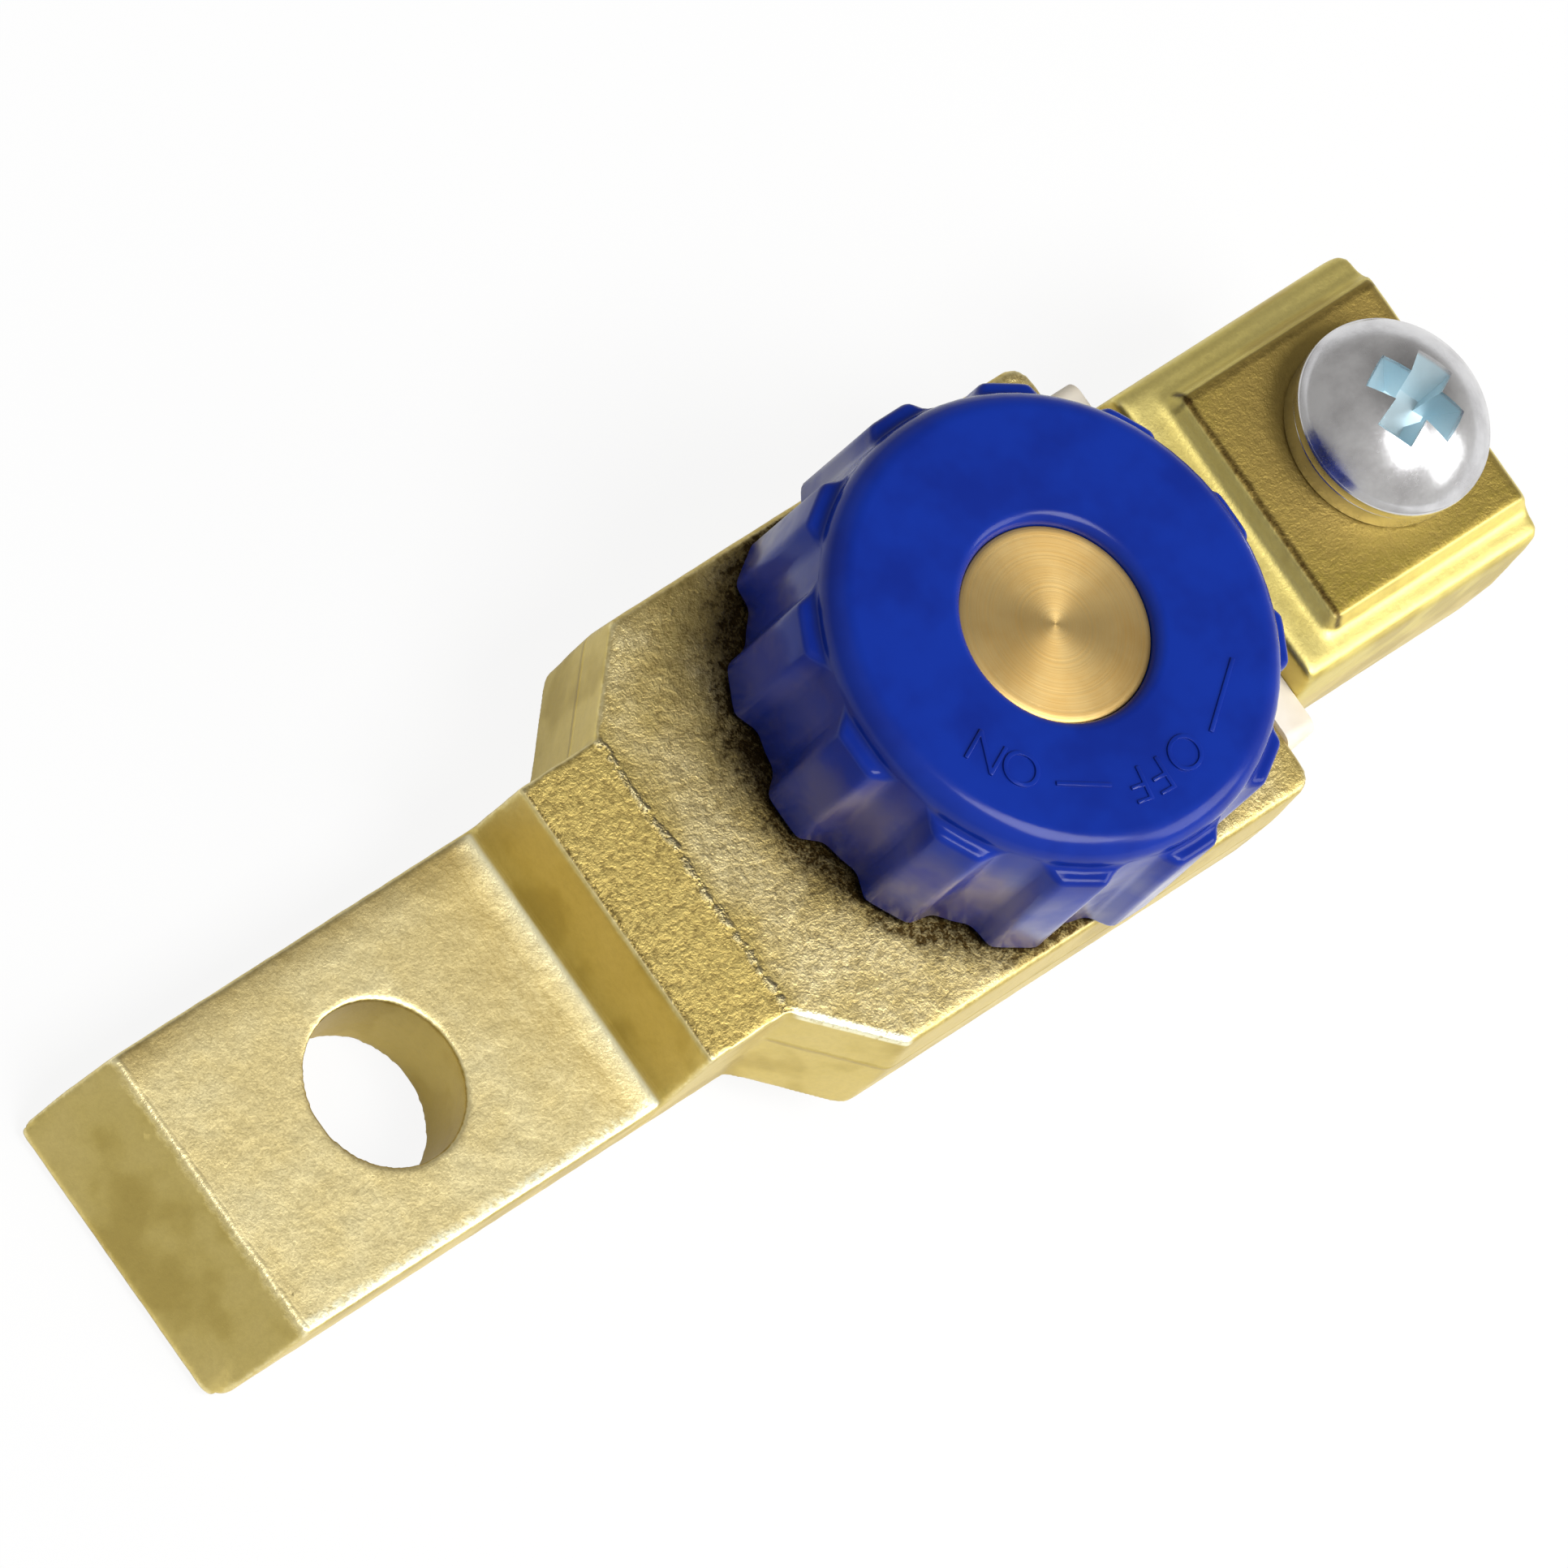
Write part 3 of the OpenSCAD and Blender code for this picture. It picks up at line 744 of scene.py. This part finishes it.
    @staticmethod
    def finish(
        item: bpy.types.Object,
        body: Body,
        material: bpy.types.Material,
        slot: str,
        nodes: Sequence[str] = (),
        crease: float = 35.0,
    ) -> bpy.types.Object:
        """Bring a piece to metres, dress it and let it ride on its body.

        Args:
            item: The piece, in millimetres.
            body: The body that it rides on.
            material: Its material.
            slot: The record's material slot; not used.
            nodes: The CAD nodes that it stands for.
            crease: The angle over which an edge stays sharp, in degrees.

        Returns:
            The piece.
        """
        Bench.only(item)
        item.scale = (MM, MM, MM)
        bpy.ops.object.transform_apply(location=True, rotation=True, scale=True)
        bpy.ops.object.shade_smooth_by_angle(angle=math.radians(crease))
        item.data.materials.clear()
        item.data.materials.append(material)
        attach(item, body.value)
        if nodes:
            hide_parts(*nodes)
        triangles = sum(len(face.vertices) - 2 for face in item.data.polygons)
        LOG.info("%s rides on %s with %d triangles", item.name, body.value, triangles)
        return item


@dataclass
class Casting:
    """One brass casting, with the softened edges and faint waves of a sand mould."""

    node: str
    name: str
    voxel: float
    keep: float = 0.5
    soften: int = 3
    wave: float = 0.05
    wave_length: float = 1.1
    blur: int = 24
    end_corners: tuple[float, float] = (0.0, 0.0)

    def build(self, material: bpy.types.Material) -> bpy.types.Object:
        """Model the casting over its CAD node.

        Args:
            material: The brass.

        Returns:
            The casting.
        """
        made = Bench.copy_of(self.node, self.name)
        Bench.modify(made, "REMESH", mode="VOXEL", voxel_size=self.voxel)
        Bench.modify(made, "SMOOTH", factor=0.5, iterations=self.soften)
        self._round_end(made)
        skin = bpy.data.textures.new(self.name + "_skin", "CLOUDS")
        skin.noise_scale = self.wave_length
        skin.noise_depth = 2
        Bench.modify(made, "DISPLACE", texture=skin, strength=self.wave, mid_level=1.0)
        tree, wear = self._wear(made)
        Bench.modify(made, "DECIMATE", ratio=self.keep)
        marks = made.data.attributes.new("wear", "FLOAT", "POINT")
        marks.data.foreach_set("value", [wear[tree.find(vertex.co)[1]] for vertex in made.data.vertices])
        return Bench.finish(made, Body.HOUSING, material, "cast_brass", [self.node], crease=180.0)

    def _round_end(self, made: bpy.types.Object) -> None:
        """Round the two corners of the end at -X, seen from above.

        Args:
            made: The casting, as a fine mesh.
        """
        first = min(vertex.co.x for vertex in made.data.vertices)
        for side, radius in zip((-1.0, 1.0), self.end_corners):
            near = [v for v in made.data.vertices if v.co.x < first + 4.0 and v.co.y * side > 0]
            if not near or radius <= 0:
                continue
            reach = max(v.co.y * side for v in near)
            for vertex in near:
                along = first + radius - vertex.co.x
                across = vertex.co.y * side - (reach - radius)
                if along > 0 and across > 0:
                    pull = max(along, across) / math.hypot(along, across)
                    vertex.co.x = first + radius - along * pull
                    vertex.co.y = (reach - radius + across * pull) * side

    def _wear(self, made: bpy.types.Object) -> tuple[KDTree, list[float]]:
        """Measure how far each point stands out of its surroundings.

        Args:
            made: The casting, before its mesh is thinned.

        Returns:
            A tree of the points, and the measure of each in millimetres: above 0 on an outer
            edge and below 0 in a hollow.
        """
        bpy.ops.object.duplicate()
        worn = bpy.context.view_layer.objects.active
        Bench.modify(worn, "SMOOTH", factor=0.5, iterations=self.blur)
        tree = KDTree(len(made.data.vertices))
        wear = []
        for vertex, soft in zip(made.data.vertices, worn.data.vertices):
            tree.insert(vertex.co, vertex.index)
            wear.append((vertex.co - soft.co).dot(vertex.normal))
        tree.balance()
        bpy.data.meshes.remove(worn.data)
        Bench.only(made)
        return tree, wear


@dataclass
class Sleeve:
    """The nylon sleeve, whose end flange shows between the castings."""

    edge: float = 0.22

    def build(self, material: bpy.types.Material) -> bpy.types.Object:
        """Model the sleeve over its CAD node.

        Args:
            material: The nylon.

        Returns:
            The sleeve.
        """
        made = Bench.copy_of("insulating_sleeve", "sleeve")
        Bench.modify(made, "BEVEL", width=self.edge, segments=3, limit_method="ANGLE",
                     angle_limit=math.radians(40), use_clamp_overlap=True)
        return Bench.finish(made, Body.HOUSING, material, "nylon", ["insulating_sleeve"])


@dataclass
class Knob:
    """The blue knob: a cap with 12 grip ribs, cored from below, with raised ON and OFF."""

    axis: float = 42.9
    base: float = 12.8
    height: float = 12.2
    letter_height: float = 0.12
    cap_radius: float = 14.35
    cap_edge: float = 1.6
    hole_radius: float = 6.05
    hole_edge: float = 0.8
    hub_radius: float = 10.2
    skirt: float = 2.0
    roof: float = 3.4
    ribs: int = 12
    rib_base: float = 1.1
    rib_top: float = 1.0
    rib_width: float = 3.0
    rib_foot: float = 5.0
    rib_drop: float = 2.15
    steps_per_rib: int = 6
    edge: float = 0.42
    webs: int = 6
    web: float = 1.4

    @property
    def cap_top(self) -> float:
        """Height of the cap's flat top over the knob's base, under its raised letters."""
        return self.height - self.letter_height

    def _profile(self) -> list[tuple[float, float]]:
        """Give the closed section of the cap, hub and skirt.

        Returns:
            Radius and height of each point.
        """
        inner = self.cap_radius - self.skirt
        under = self.height - self.roof
        rib_z = self.height - self.rib_drop
        return [
            (self.hole_radius, 0.0), (self.hub_radius, 0.0), (self.hub_radius, under),
            (inner, under), (inner, 0.0), (self.cap_radius, 0.0), (self.cap_radius, rib_z),
            *Bench.arc((self.cap_radius - self.cap_edge, self.cap_top - self.cap_edge), self.cap_edge, 0, 90, 10),
            *Bench.arc((self.hole_radius + self.hole_edge, self.cap_top - self.hole_edge), self.hole_edge, 90, 180, 6),
        ]

    def _sector(self) -> bpy.types.Object:
        """Model the sector that carries one rib, on the +X side.

        Returns:
            The sector, in edit mode.
        """
        half = math.pi / self.ribs
        turn = Matrix.Rotation(half, 3, "Z")
        points = [tuple(turn @ Vector((r, 0.0, z)) + Vector((self.axis, 0.0, self.base))) for r, z in self._profile()]
        made = Bench.outline("knob_body", points, closed=True)
        bpy.ops.mesh.spin(steps=self.steps_per_rib, angle=2 * half, center=(self.axis, 0.0, 0.0), axis=(0.0, 0.0, 1.0))
        bpy.ops.mesh.select_all(action="SELECT")
        bpy.ops.mesh.remove_doubles(threshold=0.001)
        rib_z = self.base + self.height - self.rib_drop
        reach = self.rib_foot / 2 + 0.05

        def on_rib(face: bmesh.types.BMFace) -> bool:
            """Tell whether a face of the skirt lies under the rib."""
            corners = [v.co for v in face.verts]
            return all(
                abs(math.hypot(c.x - self.axis, c.y) - self.cap_radius) < 0.01
                and abs(c.y) < reach and c.z < rib_z + 0.01
                for c in corners
            )

        count = Bench.pick(made, on_rib)
        LOG.info("a rib stands on %d faces of the skirt", count)
        outer = self.axis + self.cap_radius + self.rib_base
        bpy.ops.mesh.extrude_region_move(TRANSFORM_OT_translate={"value": (self.rib_base, 0.0, 0.0)})
        bpy.ops.transform.resize(value=(0.0, self.rib_width / self.rib_foot, 1.0), center_override=(outer, 0.0, 0.0))
        self._lean(made, outer, rib_z)
        return made

    def _lean(self, made: bpy.types.Object, outer: float, rib_z: float) -> None:
        """Lean the rib's outer face in toward its top.

        Args:
            made: The sector, in edit mode.
            outer: X of the outer face.
            rib_z: Height of the rib's top.
        """
        bpy.ops.mesh.select_mode(type="VERT")
        bpy.ops.mesh.select_all(action="DESELECT")
        shape = bmesh.from_edit_mesh(made.data)
        for vertex in shape.verts:
            if abs(vertex.co.x - outer) < 0.01 and vertex.co.z > rib_z - 0.01:
                vertex.select_set(True)
        bmesh.update_edit_mesh(made.data)
        bpy.ops.transform.translate(value=(self.rib_top - self.rib_base, 0.0, 0.0))

    def _webs(self, made: bpy.types.Object) -> None:
        """Join the stiffening webs between hub and skirt to the knob.

        Args:
            made: The knob.
        """
        inner = self.cap_radius - self.skirt
        length = inner - self.hub_radius + 0.4
        tall = self.height - self.roof - 0.2
        pieces = [made]
        for i in range(self.webs):
            angle = math.tau * (i + 0.5) / self.webs
            middle = (inner + self.hub_radius) / 2
            place = (self.axis + middle * math.cos(angle), middle * math.sin(angle), self.base + tall / 2 + 0.2)
            bpy.ops.object.select_all(action="DESELECT")
            bpy.ops.mesh.primitive_cube_add(size=1.0, location=place, rotation=(0.0, 0.0, angle), scale=(length, self.web, tall))
            web = Bench.named(f"web_{i}")
            Bench.modify(web, "BEVEL", width=0.15, segments=2)
            pieces.append(web)
        Bench.only(*pieces)
        bpy.ops.object.join()

    def build(self, material: bpy.types.Material) -> list[bpy.types.Object]:
        """Model the knob and its letters.

        Args:
            material: The blue plastic.

        Returns:
            The knob and the letters.
        """
        made = self._sector()
        bpy.ops.mesh.select_all(action="SELECT")
        rest = self.ribs - 1
        bpy.ops.mesh.spin(steps=rest, dupli=True, angle=math.tau * rest / self.ribs, center=(self.axis, 0.0, 0.0),
                          axis=(0.0, 0.0, 1.0))
        Bench.mend()
        Bench.modify(made, "BEVEL", width=self.edge, segments=3, limit_method="ANGLE",
                     angle_limit=math.radians(28), use_clamp_overlap=True)
        self._webs(made)
        knob = Bench.finish(made, Body.KNOB, material, "blue_plastic", ["knob"], crease=40.0)
        return [knob, *self._letters(material)]

    def _letters(self, material: bpy.types.Material) -> list[bpy.types.Object]:
        """Raise the words and their bars on the cap.

        Args:
            material: The blue plastic.

        Returns:
            The lettering as one piece.
        """
        return [Lettering(self.axis, self.base + self.cap_top, self.letter_height).build(material)]


@dataclass(frozen=True)
class Mark:
    """One letter or bar on the cap."""

    sign: str
    angle: float
    radius: float
    length: float = 2.2


@dataclass
class Lettering:
    """Raised ON and OFF with a bar at the end of each, tops outward, round the cap."""

    axis: float
    top: float
    height: float
    letter: float = 2.3
    stroke: float = 0.28
    sink: float = 0.1
    marks: tuple[Mark, ...] = (
        Mark("O", 216.6, 9.86), Mark("N", 203.6, 10.06), Mark("bar", 239.0, 10.03, 3.5),
        Mark("O", 279.4, 10.2), Mark("F", 267.0, 10.4), Mark("F", 258.6, 10.4), Mark("bar", 304.9, 10.45, 5.0),
    )

    def _letter(self, mark: Mark) -> bpy.types.Object:
        """Make one raised letter, lying flat with its top toward +Y.

        Args:
            mark: The letter.

        Returns:
            The letter's mesh object.
        """
        bpy.ops.object.select_all(action="DESELECT")
        bpy.ops.object.text_add(location=(0.0, 0.0, 0.0))
        made = bpy.context.view_layer.objects.active
        made.data.body = mark.sign
        made.data.size = self.letter / 0.72
        made.data.align_x = "CENTER"
        made.data.align_y = "CENTER"
        made.data.extrude = (self.height + self.sink) / 2
        made.data.offset = -0.02
        made.data.resolution_u = 8
        bpy.ops.object.convert(target="MESH")
        return Bench.named("letter")

    def _bar(self, mark: Mark) -> bpy.types.Object:
        """Make one raised bar, lying along X.

        Args:
            mark: The bar.

        Returns:
            The bar's mesh object.
        """
        bpy.ops.object.select_all(action="DESELECT")
        bpy.ops.mesh.primitive_cube_add(size=1.0, scale=(mark.length, self.stroke, self.height + self.sink))
        made = Bench.named("bar")
        bpy.ops.object.transform_apply(location=False, rotation=False, scale=True)
        return made

    def build(self, material: bpy.types.Material) -> bpy.types.Object:
        """Make all letters and bars as one piece.

        Args:
            material: The blue plastic.

        Returns:
            The piece.
        """
        pieces = []
        for mark in self.marks:
            made = self._bar(mark) if mark.sign == "bar" else self._letter(mark)
            angle = math.radians(mark.angle)
            middle = self.top + (self.height - self.sink) / 2
            place = Matrix.Translation((self.axis + mark.radius * math.cos(angle), mark.radius * math.sin(angle), middle))
            made.data.transform(place @ Matrix.Rotation(angle - math.pi / 2, 4, "Z"))
            Bench.only(made)
            bpy.ops.object.mode_set(mode="EDIT")
            Bench.mend()
            Bench.modify(made, "BEVEL", width=0.05, segments=2, limit_method="ANGLE", angle_limit=math.radians(50))
            pieces.append(made)
        Bench.only(*pieces)
        bpy.ops.object.join()
        made = Bench.named("knob_lettering")
        return Bench.finish(made, Body.KNOB, material, "blue_plastic", crease=50.0)


@dataclass
class ContactStud:
    """The turned stud whose faced end shows in the knob."""

    axis: float = 42.9
    steps: int = 128

    def build(self, material: bpy.types.Material) -> bpy.types.Object:
        """Turn the stud.

        Args:
            material: The turned brass.

        Returns:
            The stud.
        """
        profile = [
            (0.0, 3.42), (2.1, 3.42), (2.5, 3.82), (2.5, 6.12), (4.7, 6.12), (5.0, 6.4), (5.0, 6.82),
            (4.2, 6.82), (4.2, 7.7), (5.0, 7.7), (5.0, 12.8), (6.04, 12.8),
            (6.04, 23.95), (5.97, 24.1), (5.8, 24.19), (5.6, 24.2),
            *[(5.6 - 0.35 * i, 24.2) for i in range(1, 14)],
            (0.7, 24.2), (0.45, 24.19), (0.2, 24.18), (0.0, 24.18),
        ]
        made = Bench.turned("stud", profile, (self.axis, 0.0), self.steps)
        return Bench.finish(made, Body.KNOB, material, "turned_brass", ["contact_stud"], crease=30.0)


@dataclass
class ClampScrew:
    """The pan-head screw with a cross recess and an M6 thread."""

    axis: float = 73.7
    head_z: float = 17.8
    radius: float = 3.0
    length: float = 12.0
    head_radius: float = 6.1
    head_height: float = 4.4
    shoulder_highlight: float = 1.0
    pitch: float = 1.0
    thread: float = 0.55
    turn: float = 24.0

    def _head(self) -> bpy.types.Object:
        """Turn the head and the shank's core.

        Returns:
            The head.
        """
        rise = self.head_height - self.shoulder_highlight
        dome = (self.head_radius ** 2 + rise ** 2) / (2 * rise)
        half = math.degrees(math.asin(self.head_radius / dome))
        core = self.radius - self.thread
        profile = [
            (0.0, -self.length), (core - 0.4, -self.length), (core, -self.length + 0.4), (core, -0.3),
            (self.radius, -0.05), (self.radius + 0.1, 0.0), (self.head_radius - 0.4, 0.0),
            *Bench.arc((self.head_radius - 0.4, 0.4), 0.4, -80, 0, 5),
            *Bench.arc((self.head_radius - 0.35, self.shoulder_highlight - 0.2), 0.35, 10, 50, 4),
            *Bench.arc((0.0, self.head_height - dome), dome, 90 - half + 4, 90, 28)[:-1],
            (0.0, self.head_height),
        ]
        return Bench.turned("screw", profile, (self.axis, 0.0), 112, base=self.head_z)

    def _wing(self, angle: float) -> bpy.types.Object:
        """Make the cutter for one wing of the recess.

        Args:
            angle: The wing's angle in degrees.

        Returns:
            The cutter.
        """
        bpy.ops.object.select_all(action="DESELECT")
        bpy.ops.mesh.primitive_cube_add(size=1.0, location=(self.axis, 0.0, self.head_z + self.head_height))
        made = Bench.named("wing")
        shape = bmesh.new()
        shape.from_mesh(made.data)
        for vertex in shape.verts:
            outer = vertex.co.x > 0
            top = vertex.co.z > 0
            side = 1 if vertex.co.y > 0 else -1
            reach = (3.72 if top else 1.35) if outer else -0.2
            wide = (1.45 if outer else 1.05) if top else (0.7 if outer else 0.55)
            vertex.co = Vector((reach, side * wide, 0.5 if top else -2.9))
        shape.to_mesh(made.data)
        shape.free()
        made.data.transform(Matrix.Rotation(math.radians(angle), 4, "Z"))
        return made

    def _thread(self) -> bpy.types.Object:
        """Wind the thread round the shank.

        Returns:
            The thread.
        """
        half = self.pitch / 2 - 0.06
        points = [
            (self.radius - self.thread - 0.08, 0.0, -half), (self.radius - 0.04, 0.0, -0.06),
            (self.radius - 0.04, 0.0, 0.06), (self.radius - self.thread - 0.08, 0.0, half),
        ]
        made = Bench.outline("thread", points, closed=True)
        bpy.ops.object.mode_set(mode="OBJECT")
        turns = int(self.length - 2)
        Bench.modify(made, "SCREW", angle=math.tau * turns, screw_offset=self.pitch * turns, iterations=1,
                     steps=40 * turns, render_steps=40 * turns, use_normal_calculate=True)
        made.data.transform(Matrix.Translation((self.axis, 0.0, self.head_z - self.length + 0.9)))
        Bench.only(made)
        bpy.ops.object.mode_set(mode="EDIT")
        bpy.ops.mesh.select_all(action="SELECT")
        bpy.ops.mesh.fill_holes(sides=4)
        bpy.ops.mesh.normals_make_consistent(inside=False)
        bpy.ops.object.mode_set(mode="OBJECT")
        return made

    def build(self, material: bpy.types.Material) -> bpy.types.Object:
        """Model the screw.

        Args:
            material: The zinc plate.

        Returns:
            The screw.
        """
        made = self._head()
        for i in range(4):
            cutter = self._wing(self.turn + 90 * i)
            Bench.modify(made, "BOOLEAN", operation="DIFFERENCE", object=cutter, solver="EXACT")
            bpy.data.objects.remove(cutter)
        thread = self._thread()
        Bench.only(made, thread)
        bpy.ops.object.join()
        return Bench.finish(made, Body.SCREW, material, "zinc_plated_steel", ["clamp_screw"], crease=32.0)


@dataclass
class SpringWasher:
    """The split spring washer under the screw's head."""

    edge: float = 0.18

    def build(self, material: bpy.types.Material) -> bpy.types.Object:
        """Model the washer over its CAD node.

        Args:
            material: The zinc plate.

        Returns:
            The washer.
        """
        made = Bench.copy_of("spring_washer", "lock_washer")
        Bench.modify(made, "BEVEL", width=self.edge, segments=3, limit_method="ANGLE",
                     angle_limit=math.radians(40), use_clamp_overlap=True)
        return Bench.finish(made, Body.WASHER, material, "zinc_plated_steel", ["spring_washer"])


@dataclass
class HiddenParts:
    """The bush and the clip inside, which keep their CAD shape."""

    def build(self, nylon: bpy.types.Material, steel: bpy.types.Material) -> None:
        """Dress the CAD nodes.

        Args:
            nylon: The bush's material.
            steel: The clip's material.
        """
        for node, material in (("blade_bush", nylon), ("stud_clip", steel)):
            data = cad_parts[node].data
            data.materials.clear()
            data.materials.append(material)
            LOG.info("%s keeps its CAD shape", node)


@dataclass
class Studio:
    """The pale floor, the soft lights and the camera at the photograph's angle."""

    aim: Point = (0.03086, 0.00180, 0.0100)
    look: Point = (0.54128, 0.06849, -0.83805)
    right: Point = (0.70859, -0.57373, 0.41077)
    distance: float = 2.0
    lens: float = 807.9

    def _camera(self) -> None:
        """Add the camera."""
        look = Vector(self.look).normalized()
        right = Vector(self.right)
        right = (right - look * right.dot(look)).normalized()
        up = right.cross(look).normalized()
        data = bpy.data.cameras.new("camera")
        data.lens = self.lens
        data.sensor_width = 36.0
        data.clip_start = 0.1
        data.clip_end = 20.0
        made = bpy.data.objects.new("camera", data)
        bpy.context.scene.collection.objects.link(made)
        made.matrix_world = Matrix((
            (right.x, up.x, -look.x, self.aim[0] - look.x * self.distance),
            (right.y, up.y, -look.y, self.aim[1] - look.y * self.distance),
            (right.z, up.z, -look.z, self.aim[2] - look.z * self.distance),
            (0.0, 0.0, 0.0, 1.0),
        ))
        bpy.context.scene.camera = made

    def _lamp(self, name: str, toward: Point, size: tuple[float, float], power: float, far: float = 0.6,
              colour: Colour = (1.0, 1.0, 1.0, 1.0)) -> None:
        """Add a softbox.

        Args:
            name: The lamp's name.
            toward: The direction from the object to the lamp.
            size: The lamp's width and height in metres.
            power: The lamp's power in watts.
            far: The lamp's distance in metres.
            colour: The lamp's colour.
        """
        data = bpy.data.lights.new(name, "AREA")
        data.shape = "RECTANGLE"
        data.size, data.size_y = size
        data.energy = power
        data.color = colour[:3]
        made = bpy.data.objects.new(name, data)
        bpy.context.scene.collection.objects.link(made)
        direction = Vector(toward).normalized()
        made.location = Vector((0.042, 0.0, 0.01)) + direction * far
        made.rotation_euler = direction.to_track_quat("Z", "Y").to_euler()

    def _floor(self) -> None:
        """Lay the pale floor, white to the eye but with the object's shadow, and clear from below."""
        bpy.ops.object.select_all(action="DESELECT")
        bpy.ops.mesh.primitive_plane_add(size=6.0, location=(0.04, 0.0, -0.0002))
        floor = Bench.named("floor")
        material, shader = new_shader("pale_floor")
        seen = shader.node("ShaderNodeLightPath", output="Is Camera Ray")
        shine = shader.node("ShaderNodeLightPath", output="Is Glossy Ray")
        through = shader.node("ShaderNodeLightPath", output="Is Transmission Ray")
        matt = shader.node("ShaderNodeBsdfDiffuse", None, {"Color": paint(238, 238, 238)})
        glow = shader.node("ShaderNodeEmission", None, {"Color": (1.0, 1.0, 1.0, 1.0), "Strength": 1.0})
        share = (seen * 0.90 + shine * 0.35 + through * 0.35).clamped()
        pale = shader.node("ShaderNodeMixShader", None, {0: share, 1: matt, 2: glow})
        below = shader.node("ShaderNodeNewGeometry", output="Backfacing")
        clear = shader.node("ShaderNodeBsdfTransparent")
        shader.end(shader.node("ShaderNodeMixShader", None, {0: below, 1: pale, 2: clear}))
        floor.data.materials.append(material)

    def _world(self) -> None:
        """Surround the object with a pale room, white to the eye."""
        world = bpy.data.worlds.new("room")
        world.use_nodes = True
        bpy.context.scene.world = world
        shader = Shader(world.node_tree)
        toward = shader.node("ShaderNodeTexCoord", output="Generated")
        x, y, z = shader.split(toward)
        high = z.ease(-0.1, 0.9)
        ahead = (x * 0.54 + y * 0.07 + z * 0.84).ease(0.55, 0.98)
        side = (y * -1.0).ease(-0.6, 0.9)
        level = (0.62 + side * 0.35 + high * 0.1 - ahead * 0.45).clamped()
        room = shader.tint(level, paint(40, 36, 32), paint(252, 250, 246))
        seen = shader.node("ShaderNodeLightPath", output="Is Camera Ray")
        shine = shader.node("ShaderNodeLightPath", output="Is Glossy Ray")
        through = shader.node("ShaderNodeLightPath", output="Is Transmission Ray")
        direct = (seen + through).clamped()
        white = shader.node("ShaderNodeBackground", None, {"Color": (1.0, 1.0, 1.0, 1.0), "Strength": 1.0})
        soft = shader.node("ShaderNodeBackground", None, {"Color": room, "Strength": 0.48 + shine * 0.25})
        shader.end(shader.node("ShaderNodeMixShader", None, {0: direct, 1: soft, 2: white}), "ShaderNodeOutputWorld")

    def build(self) -> None:
        """Add the camera, the floor, the room and the lights."""
        scene = bpy.context.scene
        scene.view_settings.view_transform = "Standard"
        self._camera()
        self._floor()
        self._world()
        self._lamp("key", (0.05, -0.45, 0.89), (0.31, 0.31), 3.0)
        self._lamp("window", (0.52, -0.69, 0.51), (0.30, 0.31), 1.45)
        LOG.info("the studio is lit")


def main() -> None:
    """Build and dress every piece, then the studio."""
    logging.basicConfig(level=logging.INFO, format="%(message)s")
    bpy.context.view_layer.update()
    Bench.only(*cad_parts.values())
    bpy.ops.object.select_all(action="DESELECT")
    cast, turned, nylon = CastBrass().make(), TurnedBrass().make(), Nylon().make()
    blue, zinc, steel = BluePlastic().make(), ZincPlate().make(), SpringSteel().make()
    Casting("lug_casting", "lug", voxel=0.22, soften=5, end_corners=(1.4, 0.7)).build(cast)
    Casting("terminal_casting", "terminal", voxel=0.18, soften=26, wave=0.03).build(cast)
    Sleeve().build(nylon)
    Knob().build(blue)
    ContactStud().build(turned)
    ClampScrew().build(zinc)
    SpringWasher().build(zinc)
    HiddenParts().build(nylon, steel)
    Studio().build()


if __name__ == "__main__":
    main()
